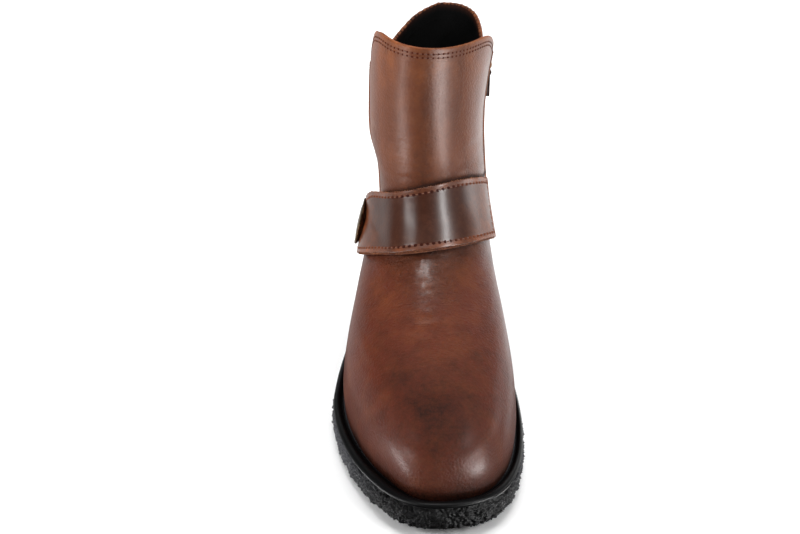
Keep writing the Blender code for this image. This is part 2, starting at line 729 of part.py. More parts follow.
LEATHER = finish("brown_leather", (0.19, 0.07, 0.035), 0.4)
RUBBER = finish("black_rubber", (0.012, 0.012, 0.013), 0.6)
LINING = finish("black_lining", (0.01, 0.01, 0.01), 0.9)
TAPE = finish("brown_tape", (0.05, 0.025, 0.015), 0.85)
BRASS = finish("antique_brass", (0.12, 0.095, 0.06), 0.4, 1.0)

make_outsole()
make_welt()
make_insole()
make_upper()
make_front_panel()
make_strap()
make_stud()
make_zip_tape()
make_zip_chain()
make_zip_slider()
make_zip_pull()
stand_on_origin()
bpy.context.view_layer.update()
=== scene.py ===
# Looks of the biker boot for the right foot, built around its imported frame
import json
import math
import bpy
import numpy as np
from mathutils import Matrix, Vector, noise


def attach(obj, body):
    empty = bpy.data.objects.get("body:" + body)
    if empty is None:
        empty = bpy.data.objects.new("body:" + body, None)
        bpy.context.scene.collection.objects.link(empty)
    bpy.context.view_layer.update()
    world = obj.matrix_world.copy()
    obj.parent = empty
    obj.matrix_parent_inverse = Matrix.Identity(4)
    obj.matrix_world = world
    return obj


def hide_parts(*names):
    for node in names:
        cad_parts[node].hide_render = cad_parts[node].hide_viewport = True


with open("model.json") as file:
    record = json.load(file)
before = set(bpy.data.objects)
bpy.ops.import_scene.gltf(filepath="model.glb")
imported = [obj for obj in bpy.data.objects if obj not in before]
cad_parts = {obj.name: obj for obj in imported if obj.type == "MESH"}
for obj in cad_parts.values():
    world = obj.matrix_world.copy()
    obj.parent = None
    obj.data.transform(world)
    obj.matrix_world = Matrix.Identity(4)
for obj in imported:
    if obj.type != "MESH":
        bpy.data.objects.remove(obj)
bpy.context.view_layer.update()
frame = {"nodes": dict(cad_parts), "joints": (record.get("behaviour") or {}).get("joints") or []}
mm = 0.001
print("frame loaded:", len(frame["nodes"]), "solids")


# Node wiring
class Wire:  # one output socket, so that maths on it is written as plain expressions
    def __init__(self, bench, socket):
        self.bench = bench
        self.socket = socket

    def maths(self, operation, first, second, clamp=False):
        settings = {"operation": operation, "use_clamp": clamp}
        return self.bench.node("ShaderNodeMath", settings, {0: first, 1: second})

    def clamped(self):
        return self.maths("ADD", self, 0.0, clamp=True)

    def unsigned(self):
        return self.maths("ABSOLUTE", self, 0.0)

    def above(self, start, gain):  # 0 up to the start, then a slope up to 1
        return ((self - start) * gain).clamped()

    def __add__(self, other):
        return self.maths("ADD", self, other)

    def __radd__(self, other):
        return self.maths("ADD", other, self)

    def __sub__(self, other):
        return self.maths("SUBTRACT", self, other)

    def __rsub__(self, other):
        return self.maths("SUBTRACT", other, self)

    def __mul__(self, other):
        return self.maths("MULTIPLY", self, other)

    def __rmul__(self, other):
        return self.maths("MULTIPLY", other, self)


class Bench:  # one node tree that is being wired
    def __init__(self, tree):
        self.tree = tree

    def plug(self, node, sockets):
        for key, value in sockets.items():
            for part in value if isinstance(value, list) else [value]:
                if isinstance(part, Wire):
                    self.tree.links.new(part.socket, node.inputs[key])
                else:
                    node.inputs[key].default_value = part

    def node(self, kind, settings=None, sockets=None, output=0):
        made = self.tree.nodes.new(kind)
        for key, value in (settings or {}).items():
            setattr(made, key, value)
        self.plug(made, sockets or {})
        return Wire(self, made.outputs[output])

    def mix(self, share, first, second):  # colours only
        return self.node("ShaderNodeMix", {"data_type": "RGBA"}, {0: share, 6: first, 7: second}, 2)

    def paint(self, name):  # a value that the piece's mesh carries
        return self.node("ShaderNodeAttribute", {"attribute_name": name}, output="Fac")

    def scaled(self, vector, size):
        return self.node("ShaderNodeVectorMath", {"operation": "SCALE"}, {0: vector, "Scale": size})

    def vectorOf(self, x, y, z):
        return self.node("ShaderNodeCombineXYZ", {}, {"X": x, "Y": y, "Z": z})


def srgb(*channels):  # a colour as the eye names it, red, green and blue from 0 to 255, in linear light
    shares = (c / 255 for c in channels)
    return tuple(s / 12.92 if s < 11 / 255 else ((s + 0.055) / 1.055) ** 2.4 for s in shares) + (1.0,)


# The last, in millimetres: the same sections as the solids have
last = {
    "soleLength": 290.0, "ballWidth": 100.0, "shaftHeight": 215.0, "wall": 2.2,
    "toMiddle": (-1.172, 1.335, 0.0),  # stands the sole's middle on the origin
    "waistAt": 0.40, "waistReach": 0.16, "toeBlend": 1.2,
    "melt": 0.014, "meltSteps": 800,  # how far a section melts into the next, in levels
    "columns": (
        "level", "toeX", "toeAlong", "toeUp", "heelX", "heelAlong", "heelUp", "widest",
        "inner", "outer", "innerWaist", "outerWaist", "innerRound", "outerRound", "heelRound", "bed",
    ),
    "sections": (
        (0.00, 6.5, -0.479, 0.090, 2.0, 0.476, 0.155, 0.66, 0.465, 0.525, 0.30, 0.13, 2.52, 1.62, 2.5, 1.00),
        (0.07, 6.5, -0.481, 0.138, 2.0, 0.483, 0.214, 0.66, 0.468, 0.530, 0.27, 0.11, 2.58, 1.68, 2.5, 1.00),
        (0.15, 6.5, -0.467, 0.206, 2.0, 0.486, 0.265, 0.65, 0.453, 0.518, 0.20, 0.08, 2.55, 1.82, 2.4, 0.75),
        (0.25, 5.5, -0.417, 0.264, 2.0, 0.483, 0.326, 0.62, 0.425, 0.478, 0.12, 0.05, 2.30, 1.95, 2.3, 0.40),
        (0.37, 3.0, -0.324, 0.312, 2.0, 0.469, 0.395, 0.56, 0.395, 0.420, 0.06, 0.02, 2.10, 2.00, 2.2, 0.10),
        (0.49, 0.5, -0.207, 0.358, 2.0, 0.452, 0.474, 0.50, 0.370, 0.345, 0.00, 0.00, 2.05, 2.00, 2.1, 0.00),
        (0.60, -2.0, -0.093, 0.428, 2.0, 0.438, 0.549, 0.50, 0.350, 0.273, 0.00, 0.00, 2.00, 2.00, 2.1, 0.00),
        (0.70, -3.0, -0.007, 0.530, 2.0, 0.428, 0.633, 0.50, 0.336, 0.280, 0.00, 0.00, 2.00, 2.00, 2.1, 0.00),
        (0.80, -3.5, 0.041, 0.660, 2.5, 0.424, 0.730, 0.50, 0.325, 0.338, 0.00, 0.00, 2.00, 2.00, 2.1, 0.00),
        (0.90, -3.5, 0.059, 0.814, 4.0, 0.434, 0.856, 0.50, 0.326, 0.342, 0.00, 0.00, 2.00, 2.00, 2.1, 0.00),
        (1.00, -3.0, 0.062, 0.995, 6.0, 0.448, 1.005, 0.50, 0.336, 0.312, 0.00, 0.00, 2.00, 2.00, 2.1, 0.00),
    ),
    "bed": (  # along the sole, height of the insole's underside
        (-0.500, 20.5), (-0.431, 17.8), (-0.328, 15.5), (-0.207, 15.0), (-0.069, 17.0),
        (0.103, 24.0), (0.276, 31.0), (0.379, 33.0), (0.500, 33.5),
    ),
    "collar": (  # angle from the front, level on the inner side, level on the outer side
        (0, 0.968, 0.968), (60, 0.958, 0.958), (96, 0.915, 0.900), (112, 0.948, 0.903),
        (135, 0.969, 0.928), (155, 0.973, 0.953), (180, 0.972, 0.972),
    ),
    "zipEdges": (93.0, 102.5), "zipFoot": 14 / 26, "zipSpread": 48.0,
    "zipLean": ((0.00, 0.0), (0.30, 9.0), (0.47, 14.0), (0.70, 7.5), (0.90, 0.0), (1.00, 0.0)),
}


def easeStep(x):
    x = np.clip(x, 0, 1)
    return x * x * (3 - 2 * x)


def slope(x, start, over):  # 0 at the start and 1 that far on; a negative length runs backwards
    return easeStep((x - start) / over)


def bell(x, width):
    return np.exp(-((x / width) ** 2))


def spot(x, strength, width):  # a bell of that strength
    return strength * bell(x, width)


def unit(vectors):
    return vectors / np.linalg.norm(vectors, axis=-1, keepdims=True)


def signed(angle):  # degrees between -180 and 180
    return (np.asarray(angle, float) + 180) % 360 - 180


def smoothThrough(table, column, at):  # a curve through a table's column that never overshoots
    knots, values = (np.array([row[i] for row in table], float) for i in (0, column))
    at = np.asarray(at, float)
    step = np.diff(knots)
    slope = np.diff(values) / step
    tangent = np.concatenate([slope[:1], np.zeros(len(knots) - 2), slope[-1:]])
    for i in range(1, len(knots) - 1):
        if slope[i - 1] * slope[i] > 0:
            before, after = 2 * step[i] + step[i - 1], step[i] + 2 * step[i - 1]
            tangent[i] = (before + after) / (before / slope[i - 1] + after / slope[i])
    i = np.clip(np.searchsorted(knots, at) - 1, 0, len(knots) - 2)
    s = (at - knots[i]) / step[i]
    rise = s * s * (3 - 2 * s)
    bend = step[i] * (s * (1 - s) ** 2 * tangent[i] + s * s * (s - 1) * tangent[i + 1])
    return values[i] * (1 - rise) + values[i + 1] * rise + bend


def meltedSections():
    levels = np.linspace(0, 1, last["meltSteps"] + 1)
    spread = last["melt"] * last["meltSteps"]
    reach = int(3 * spread)
    kernel = np.exp(-0.5 * (np.arange(-reach, reach + 1) / spread) ** 2)
    melted = {"level": levels}
    for i, name in enumerate(last["columns"][1:], 1):
        wide = np.pad(smoothThrough(last["sections"], i, levels), reach, mode="reflect", reflect_type="odd")
        melted[name] = np.convolve(wide, kernel / kernel.sum(), "valid")
    return melted


sections = meltedSections()


def bySide(table, angle):
    turned = signed(angle)
    return np.where(turned > 0, *(smoothThrough(table, i, np.abs(turned)) for i in (1, 2)))


def bed(y):
    return smoothThrough(last["bed"], 1, np.clip(np.asarray(y, float) / last["soleLength"], -0.5, 0.5))


# A point of the last: degrees from the toe to the inner side, level 0 at the sole and 1 at the top
def form(angle, level):
    angle, level = np.broadcast_arrays(np.asarray(angle, float), np.asarray(level, float))
    at = {name: np.interp(level, sections["level"], sections[name]) for name in last["columns"][1:]}
    forward, side = np.cos(np.radians(angle)), np.sin(np.radians(angle))
    toInner = easeStep(0.5 + side / last["toeBlend"])
    frontRound = at["outerRound"] + (at["innerRound"] - at["outerRound"]) * toInner
    power = 2 / np.where(forward > 0, frontRound, at["heelRound"])
    reach = np.where(forward > 0, 1 - at["widest"], at["widest"])
    share = at["widest"] + reach * np.sign(forward) * np.abs(forward) ** power
    waist = np.where(side > 0, at["innerWaist"], at["outerWaist"])
    pulledIn = 1 - waist * bell(share - last["waistAt"], last["waistReach"])
    half = np.where(side > 0, at["inner"], at["outer"]) * last["ballWidth"] * pulledIn
    toeY, heelY = at["toeAlong"] * last["soleLength"], at["heelAlong"] * last["soleLength"]
    x = at["heelX"] + (at["toeX"] - at["heelX"]) * share + half * np.sign(side) * np.abs(side) ** power
    y = heelY + (toeY - heelY) * share
    straight = (at["heelUp"] + (at["toeUp"] - at["heelUp"]) * share) * last["shaftHeight"]
    dip = bed(y) - bed(heelY) - (bed(toeY) - bed(heelY)) * share
    return np.stack([x, y, straight + at["bed"] * dip], -1)


def outward(angle, level, step=0.001):
    turn = math.degrees(step)
    around = form(np.asarray(angle) + turn, level) - form(np.asarray(angle) - turn, level)
    above, below = np.minimum(np.asarray(level) + step, 1), np.maximum(np.asarray(level) - step, 0)
    return unit(np.cross(around, form(angle, above) - form(angle, below)))


def skin(angle, level, off):  # a point that lies that far off the last
    angle, level = np.broadcast_arrays(np.asarray(angle, float), np.asarray(level, float))
    return form(angle, level) + outward(angle, level) * np.broadcast_to(off, angle.shape)[..., None]


def collar(angle):
    return bySide(last["collar"], angle)


def zipAngle(level, aside=0.0):
    return np.mean(last["zipEdges"]) + aside + smoothThrough(last["zipLean"], 1, level)


# Grids and meshes
gridding = {
    "backEvery": 4,  # a wall's back keeps every fourth point of its face
    "endSteps": (0.0, 0.12, 0.35, 0.65),  # where points lie on a rolled edge, in shares of its radius
    "outlineSteps": 1441, "roundSteps": 721, "sideSteps": 181,  # how finely lengths are measured
    "climbSteps": 601, "strapSteps": 260, "soleSteps": 1801, "halvings": 30,
    "wireSides": 12, "sharpFrom": 55.0,
}


def runs(points):  # length along a row of points, from its start
    steps = np.linalg.norm(np.diff(points, axis=0), axis=-1)
    return np.concatenate([np.zeros_like(steps[:1]), np.cumsum(steps, axis=0)])


def gridNormals(points, closed=False):
    up = np.gradient(points, axis=0)
    around = np.roll(points, -1, 1) - np.roll(points, 1, 1) if closed else np.gradient(points, axis=1)
    return unit(np.cross(around, up))


def edgeRuns(points):  # each point's distance from the left, right, lower and upper edge of its sheet
    across, up = runs(points.swapaxes(0, 1)).T, runs(points)
    return across, across[:, -1:] - across, up, up[-1:] - up


def rolled(distance, radius):  # how far an edge of that radius has turned in
    inside = radius - np.clip(distance, 0, radius)
    return radius - np.sqrt(np.maximum(radius**2 - inside**2, 0))


def edgeShares(count, length, radius, both=True):  # shares of a length, close together at its rolled ends
    close = np.array(gridding["endSteps"]) * radius / length
    inner = count - len(close) * (2 if both else 1)
    high = 1 - radius / length
    low = radius / length if both else 0.0
    middle = np.linspace(low, high, inner + 1)
    return np.concatenate([close if both else [], middle, 1 - close[::-1]])


def evenAngles(low, high, shares, level):  # angles at those shares of the outline's length
    fine = np.linspace(low, high, gridding["outlineSteps"])
    length = runs(form(fine, level))
    return np.interp(np.asarray(shares) * length[-1], length, fine)


def evenColumns(piece, low, high, steps=gridding["sideSteps"]):  # a sheet's angles, even at its own level
    length = runs(form(np.linspace(low, high, steps), piece["evenLevel"]))[-1]
    shares = edgeShares(piece["columns"], length, piece["edge"])
    return evenAngles(low, high, shares, piece["evenLevel"])


def softSpots(table, levels, x):  # rows of strength, level and its spread, place across and its spread
    return sum(s * bell(levels - level, tall) * bell(x - at, wide) for s, level, tall, at, wide in table)


def meshFrom(name, points, faces, kinds=None, paint=None):
    sizes = [len(f) for f in faces]
    used, order = np.unique(np.concatenate([np.asarray(f) for f in faces]), return_inverse=True)
    ends = np.cumsum(sizes)
    lists = [order[end - size:end].tolist() for size, end in zip(sizes, ends)]
    mesh = bpy.data.meshes.new(name)
    mesh.from_pydata(((points[used] + last["toMiddle"]) * mm).tolist(), [], lists)
    if kinds is not None:
        mesh.polygons.foreach_set("material_index", np.asarray(kinds, np.int32))
    for label, values in (paint or {}).items():
        layer = mesh.attributes.new(label, "FLOAT", "POINT")
        layer.data.foreach_set("value", np.asarray(values, np.float32)[used])
    mesh.shade_smooth()
    mesh.set_sharp_from_angle(angle=math.radians(gridding["sharpFrom"]))
    return mesh


# A wall between a fine face and its coarser back; the back and the rim have the second material
def shellMesh(name, face, back, closed=False, gap=None, inward=False, paint=None):
    step = gridding["backEvery"]
    rows, columns = face.shape[:2]
    cellRows, cellColumns = (rows - 1) // step, (columns if closed else columns - 1) // step
    there = np.ones((cellRows, cellColumns), bool)
    if gap:
        there[gap] = False
    small = back[::step, ::step]
    backColumns = small.shape[1]

    def fine(r, c):
        return r * columns + c % columns

    def coarse(i, j):
        return rows * columns + i * backColumns + j % backColumns

    r, c = np.nonzero(np.kron(there, np.ones((step, step), bool)))
    d = (c + 1) % columns
    faces = np.stack([fine(r, c), fine(r, d), fine(r + 1, d), fine(r + 1, c)], 1).tolist()
    kinds = [0] * len(faces)
    for i, j in zip(*np.nonzero(there)):
        up, along = range(i * step, i * step + step + 1), range(j * step, j * step + step + 1)
        faces.append([coarse(i, j), coarse(i + 1, j), coarse(i + 1, j + 1), coarse(i, j + 1)])
        kinds.append(1)
        rims = []
        if i == 0 or not there[i - 1, j]:
            rims.append([fine(up[0], k) for k in reversed(along)] + [coarse(i, j), coarse(i, j + 1)])
        if i == cellRows - 1 or not there[i + 1, j]:
            rims.append([fine(up[-1], k) for k in along] + [coarse(i + 1, j + 1), coarse(i + 1, j)])
        if (j == 0 and not closed) or not there[i, j - 1]:
            rims.append([fine(k, along[0]) for k in up] + [coarse(i + 1, j), coarse(i, j)])
        if (j == cellColumns - 1 and not closed) or not there[i, (j + 1) % cellColumns]:
            rims.append([fine(k, along[-1]) for k in reversed(up)] + [coarse(i, j + 1), coarse(i + 1, j + 1)])
        faces += rims
        kinds += [1] * len(rims)
    if inward:
        faces = [f[::-1] for f in faces]
    points = np.concatenate([face.reshape(-1, 3), small.reshape(-1, 3)])
    painted = {k: np.concatenate([v.ravel(), v[::step, ::step].ravel()]) for k, v in (paint or {}).items()}
    return meshFrom(name, points, faces, kinds, painted)


def tubeMesh(name, rings, closedRun=True, paint=None):  # a skin through rings; an open run gets ends
    count, sides = rings.shape[:2]
    faces = []
    for i in range(count if closedRun else count - 1):
        low, high = i * sides, (i + 1) % count * sides
        faces += [[low + k, low + (k + 1) % sides, high + (k + 1) % sides, high + k] for k in range(sides)]
    if not closedRun:
        faces += [list(range(sides))[::-1], [(count - 1) * sides + k for k in range(sides)]]
    return meshFrom(name, rings.reshape(-1, 3), faces, None, paint)


def cutCorners(points, following):  # each side as two points, a quarter in from its ends
    pairs = np.stack([points * 0.75 + following * 0.25, points * 0.25 + following * 0.75], 1)
    return pairs.reshape(-1, points.shape[-1])


def roundOff(outline, times=2):  # a closed outline with its corners cut
    for _ in range(times):
        outline = cutCorners(outline, np.roll(outline, -1, 0))
    return outline


def roundOpen(line, times=2):  # an open line with its corners cut and its ends kept
    for _ in range(times):
        line = np.concatenate([line[:1], cutCorners(line[:-1], line[1:])[1:-1], line[-1:]])
    return line


def keep(name, mesh, finishes=(), body="boot", replaces=()):
    piece = bpy.data.objects.new(name, mesh)
    bpy.context.scene.collection.objects.link(piece)
    for finish in finishes:
        mesh.materials.append(finish)
    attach(piece, body)
    if replaces:
        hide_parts(*replaces)
    print(name, "has", sum(len(p.vertices) - 2 for p in mesh.polygons), "triangles")


# Finishes
def newFinish(name):  # a material, its bench, its shader and the piece's own coordinates
    made = bpy.data.materials.new(name)
    made.use_nodes = True
    bench = Bench(made.node_tree)
    place = bench.node("ShaderNodeTexCoord", output="Object")
    return made, bench, made.node_tree.nodes["Principled BSDF"], place


def cloudsOn(bench, place, scale, detail=3.0, stretch=(1.0, 1.0, 1.0), rough=0.55):
    stretched = bench.node("ShaderNodeMapping", {}, {"Vector": place, "Scale": stretch})
    sockets = {"Vector": stretched, "Scale": scale, "Detail": detail, "Roughness": rough}
    return bench.node("ShaderNodeTexNoise", {}, sockets)


def bumped(bench, shader, height):  # height in metres
    bump = bench.node("ShaderNodeBump", {}, {"Strength": 1.0, "Distance": 1.0, "Height": height})
    bench.plug(shader, {"Normal": bump})


leatherLooks = {
    "upper": {
        "mid": srgb(88, 43, 21), "red": srgb(87, 37, 21),
        "light": srgb(122, 65, 30), "dark": srgb(38, 19, 13),
        "roughness": 0.48, "specular": 0.12, "coat": 0.25, "coatRoughness": 0.30, "coatIor": 1.55,
        "grain": 0.00028, "lines": 0.00006, "wrinkle": 0.00110, "patchy": 1.0,
    },
    "panel": {
        "mid": srgb(108, 54, 23), "red": srgb(90, 44, 25),
        "light": srgb(138, 76, 35), "dark": srgb(46, 23, 14),
        "roughness": 0.46, "specular": 0.16, "coat": 0.37, "coatRoughness": 0.32, "coatIor": 1.55,
        "grain": 0.00026, "lines": 0.00014, "wrinkle": 0.00090, "patchy": 1.0,
    },
    "strap": {
        "mid": srgb(58, 27, 13), "red": srgb(71, 33, 17),
        "light": srgb(122, 67, 39), "dark": srgb(28, 13, 9),
        "roughness": 0.42, "specular": 0.10, "coat": 0.70, "coatRoughness": 0.27, "coatIor": 1.65,
        "grain": 0.00006, "lines": 0.00001, "wrinkle": 0.00030, "patchy": 0.4,
    },
    "tab": {
        "mid": srgb(58, 28, 17), "red": srgb(66, 32, 20),
        "light": srgb(104, 54, 30), "dark": srgb(30, 15, 10),
        "roughness": 0.46, "specular": 0.25, "coat": 0.20, "coatRoughness": 0.30, "coatIor": 1.5,
        "grain": 0.00010, "lines": 0.0, "wrinkle": 0.00004, "patchy": 0.6,
    },
    "binding": {
        "mid": srgb(100, 52, 27), "red": srgb(92, 46, 26),
        "light": srgb(146, 86, 46), "dark": srgb(34, 17, 12),
        "roughness": 0.56, "specular": 0.22, "coat": 0.10, "coatRoughness": 0.35, "coatIor": 1.5,
        "grain": 0.00022, "lines": 0.0, "wrinkle": 0.0, "patchy": 1.2,
    },
}
leatherClouds = {  # scale, detail, stretch and roughness
    "patches": (24.0, 3.0),
    "mottle": (95.0, 5.0, (1.0, 1.0, 1.0), 0.68),
    "smear": (90.0, 3.0, (1.0, 1.0, 0.18)),  # dye that ran upwards
    "speckle": (420.0, 4.0, (1.0, 1.0, 1.0), 0.72),
    "pores": (1500.0, 3.0),
    "lines": (620.0, 3.0, (0.20, 0.20, 1.0)),
    "folds": (320.0, 4.0, (0.50, 1.0, 1.0), 0.62),
}


def leatherFinish(name, look):
    made, bench, shader, place = newFinish(name)
    clouds = {kind: cloudsOn(bench, place, *sizes) for kind, sizes in leatherClouds.items()}
    mottle, speckle = clouds["mottle"], clouds["speckle"]
    # burnishAndShade darkens the tone and dulls the coat: real burnish on the toe, and painted shade and
    # painted shadow that the pieces paint into it
    burnishAndShade, flex = bench.paint("burnishAndShade"), bench.paint("flex")
    # pull lightens rubbed leather; on the strap's ends it also carries painted sheen
    rubbed = bench.paint("pull") * (0.45 + mottle.above(0.40, 3.0) * 0.9)
    uneven = clouds["patches"].above(0.46, 3.2) * 0.20 + mottle.above(0.47, 3.4) * 0.30
    light = uneven * look["patchy"] + rubbed + (speckle - 0.5) * 0.7
    dark = clouds["smear"].above(0.46, 3.4) * 0.30 + burnishAndShade + (speckle - 0.5) * 1.1
    tone = bench.mix(bench.paint("tone"), look["mid"], look["red"])
    tone = bench.mix(light.clamped(), tone, look["light"])
    tone = bench.mix(dark.clamped(), tone, look["dark"])
    cells = {"Vector": place, "Scale": 720.0, "Smoothness": 0.35}
    pebble = 1.0 - bench.node("ShaderNodeTexVoronoi", {"feature": "SMOOTH_F1"}, cells)
    crinkle = (1.0 - (clouds["folds"] * 2.0 - 1.0).unsigned() * 3.0).clamped()
    height = (pebble + clouds["pores"] * 0.7) * look["grain"] + clouds["lines"] * look["lines"]
    bumped(bench, shader, height - crinkle * flex * look["wrinkle"])
    shine = look["roughness"] + (mottle - 0.5) * 0.22 + (speckle - 0.5) * 0.20 + burnishAndShade * 0.25
    coat = look["coat"] * (0.6 + mottle * 0.8 + flex * 2.0) * (1.0 - burnishAndShade * 1.6 - rubbed * 0.7).clamped()
    bench.plug(shader, {
        "Base Color": tone, "Roughness": shine, "Coat Weight": coat.clamped(), "Coat IOR": look["coatIor"],
        "Coat Roughness": look["coatRoughness"], "Specular IOR Level": look["specular"],
    })
    return made


def cutEdgeFinish():  # raw leather where it was cut
    made, bench, shader, place = newFinish("rawCutLeather")
    fibres = cloudsOn(bench, place, 900.0, 4.0)
    patches = cloudsOn(bench, place, 120.0, 3.0)
    tone = bench.mix(patches.above(0.35, 2.4), srgb(98, 46, 27), srgb(150, 88, 50))
    tone = bench.mix(fibres.above(0.45, 2.2) * 0.6, tone, srgb(66, 32, 20))
    bumped(bench, shader, fibres * 0.00035)
    rough = 0.78 + (fibres - 0.5) * 0.2
    bench.plug(shader, {"Base Color": tone, "Roughness": rough, "Specular IOR Level": 0.3})
    return made


def fibreFinish():
    made, bench, shader, place = newFinish("looseFibre")
    tuft = cloudsOn(bench, place, 300.0, 3.0)
    tone = bench.mix(tuft.above(0.35, 3.0), srgb(104, 54, 30), srgb(168, 106, 66))
    bench.plug(shader, {"Base Color": tone, "Roughness": 0.8})
    return made


def liningFinish():
    made, bench, shader, place = newFinish("blackLining")
    nap = cloudsOn(bench, place, 1400.0, 3.0)
    wear = cloudsOn(bench, place, 40.0, 3.0)
    bumped(bench, shader, nap * 0.00012)
    tone = bench.mix(wear.above(0.4, 2.0), srgb(2, 2, 2), srgb(6, 6, 6))
    tone = bench.mix((bench.paint("facing") * (0.55 + nap * 0.9)).clamped(), tone, srgb(44, 21, 14))
    rough = 0.80 + (nap - 0.5) * 0.3
    bench.plug(shader, {"Base Color": tone, "Roughness": rough, "Specular IOR Level": 0.12})
    return made


rubberLooks = {
    "welt": {"crumbScale": 900.0, "crumb": 0.00003, "dust": 0.25, "roughness": 0.38, "specular": 0.20},
    "crepe": {"crumbScale": 1100.0, "crumb": 0.00050, "dust": 0.55, "roughness": 0.43, "specular": 0.19},
}


def rubberFinish(name, look, crumbled=False):
    made, bench, shader, place = newFinish(name)
    crumb = cloudsOn(bench, place, look["crumbScale"], 4.0)
    dust = cloudsOn(bench, place, 45.0, 4.0)
    tone = bench.mix(dust.above(0.46, 3.0) * look["dust"], srgb(6, 6, 7), srgb(22, 21, 21))
    # painted light: crepe lighter grey along the sides and back, dark at the toe's front
    tone = bench.mix((bench.paint("paintedSideLight") * (0.3 + dust * 0.9)).clamped(), tone, srgb(74, 74, 78))
    depth = bench.paint("crepe") if crumbled else 1.0
    bumped(bench, shader, crumb * depth * look["crumb"])
    rough = look["roughness"] + (crumb - 0.5) * 0.25
    bench.plug(shader, {"Base Color": tone, "Roughness": rough, "Specular IOR Level": look["specular"]})
    return made


def metalFinish(name, bright, dull, roughness):
    made, bench, shader, place = newFinish(name)
    tarnish = cloudsOn(bench, place, 420.0, 4.0)
    scratch = cloudsOn(bench, place, 900.0, 2.0, (1.0, 1.0, 0.08))
    tone = bench.mix(tarnish.above(0.32, 2.2), bright, dull)
    bumped(bench, shader, scratch * 0.00002)
    bench.plug(shader, {"Base Color": tone, "Metallic": 1.0, "Roughness": roughness + (tarnish - 0.5) * 0.2})
    return made


def threadFinish():
    made, bench, shader, place = newFinish("tanThread")
    twist = cloudsOn(bench, place, 1800.0, 2.0)
    tone = bench.mix(twist.above(0.4, 2.4), srgb(92, 48, 28), srgb(134, 76, 44))
    bumped(bench, shader, twist * 0.00012)
    bench.plug(shader, {"Base Color": tone, "Roughness": 0.62 + (twist - 0.5) * 0.2})
    return made


# Needle holes are dark beads on the surface; their dark colour is painted shade inside the holes
holeLooks = {
    "upper": {"deep": srgb(38, 15, 9), "rim": srgb(64, 27, 17)},
    "panel": {"deep": srgb(62, 26, 15), "rim": srgb(88, 40, 24)},
    "strap": {
        "deep": srgb(38, 15, 9), "rim": srgb(64, 27, 17), "faded": srgb(104, 55, 33),
        "middle": -3 * mm, "fadeFrom": 15 * mm, "fadeOver": 14 * mm,  # their painted shade fades out towards the sides
    },
}


def holeFinish(name, look):
    made, bench, shader, place = newFinish(name)
    tone = bench.mix(cloudsOn(bench, place, 1200.0, 2.0), look["deep"], look["rim"])
    if "faded" in look:
        across = bench.node("ShaderNodeSeparateXYZ", {}, {"Vector": place}, "X")
        aside = (across - look["middle"]).unsigned()
        tone = bench.mix(aside.above(look["fadeFrom"], 1 / look["fadeOver"]), tone, look["faded"])
    bench.plug(shader, {"Base Color": tone, "Roughness": 0.9, "Specular IOR Level": 0.08})
    return made


def tapeFinish():
    made, bench, shader, place = newFinish("wovenTape")
    yarn = {"Vector": place, "Scale": 420.0, "Distortion": 1.5}
    warp, weft = (bench.node("ShaderNodeTexWave", {"bands_direction": way}, yarn, "Fac") for way in "YZ")
    weave = warp * weft
    bumped(bench, shader, weave * 0.0002)
    tone = bench.mix(weave, srgb(38, 24, 18), srgb(74, 48, 34))
    bench.plug(shader, {"Base Color": tone, "Roughness": 0.85 - weave * 0.1})
    return made


upperLeather = leatherFinish("vampLeather", leatherLooks["upper"])
panelLeather = leatherFinish("panelLeather", leatherLooks["panel"])
strapLeather = leatherFinish("strapLeather", leatherLooks["strap"])
tabLeather = leatherFinish("tabLeather", leatherLooks["tab"])
bindingLeather = leatherFinish("bindingLeather", leatherLooks["binding"])
cutEdge = cutEdgeFinish()
looseFibre = fibreFinish()
lining = liningFinish()
weltRubber = rubberFinish("smoothRubber", rubberLooks["welt"])
crepeRubber = rubberFinish("crepeRubber", rubberLooks["crepe"], crumbled=True)
agedBrass = metalFinish("agedBrass", srgb(116, 94, 70), srgb(64, 50, 38), 0.40)
zipBrass = metalFinish("zipBrass", srgb(176, 140, 92), srgb(92, 70, 46), 0.32)
thread = threadFinish()
needleHole = holeFinish("needleHole", holeLooks["upper"])
panelHole = holeFinish("panelHole", holeLooks["panel"])
strapHole = holeFinish("strapHole", holeLooks["strap"])
wovenTape = tapeFinish()
print("finishes ready:", len(bpy.data.materials))


# Trees for what repeats
def newTree(name, inputs):
    tree = bpy.data.node_groups.new(name, "GeometryNodeTree")
    tree.interface.new_socket("Geometry", in_out="OUTPUT", socket_type="NodeSocketGeometry")
    tree.interface.new_socket("Path", in_out="INPUT", socket_type="NodeSocketGeometry")
    for label, kind in inputs.items():
        tree.interface.new_socket(label, in_out="INPUT", socket_type="NodeSocket" + kind)
    bench = Bench(tree)
    entry = tree.nodes.new("NodeGroupInput")
    return bench, {socket.name: Wire(bench, socket) for socket in entry.outputs if socket.name}


# Even points on the path, moved along it and aside, and the turn that lays a piece there
def rowPoints(bench, given, ahead=0.0, aside=0.0):
    row = bench.node("GeometryNodeMeshToCurve", {}, {"Mesh": given["Path"]})
    steps = {"Curve": row, "Length": given["Pitch"]}
    points = bench.node("GeometryNodeResampleCurve", {"mode": "LENGTH"}, steps)
    along = bench.node("GeometryNodeInputTangent")
    facing = bench.node("GeometryNodeInputNamedAttribute", {"data_type": "FLOAT_VECTOR"}, {"Name": "facing"})
    turn = bench.node("FunctionNodeAlignRotationToVector", {"axis": "X"}, {"Vector": along})
    upright = {"axis": "Z", "pivot_axis": "X"}
    turn = bench.node("FunctionNodeAlignRotationToVector", upright, {"Rotation": turn, "Vector": facing})
    across = bench.node("ShaderNodeVectorMath", {"operation": "CROSS_PRODUCT"}, {0: facing, 1: along})
    moves = {0: bench.scaled(along, ahead), 1: bench.scaled(across, aside)}
    offset = bench.node("ShaderNodeVectorMath", {"operation": "ADD"}, moves)
    return bench.node("GeometryNodeSetPosition", {}, {"Geometry": points, "Offset": offset}), turn


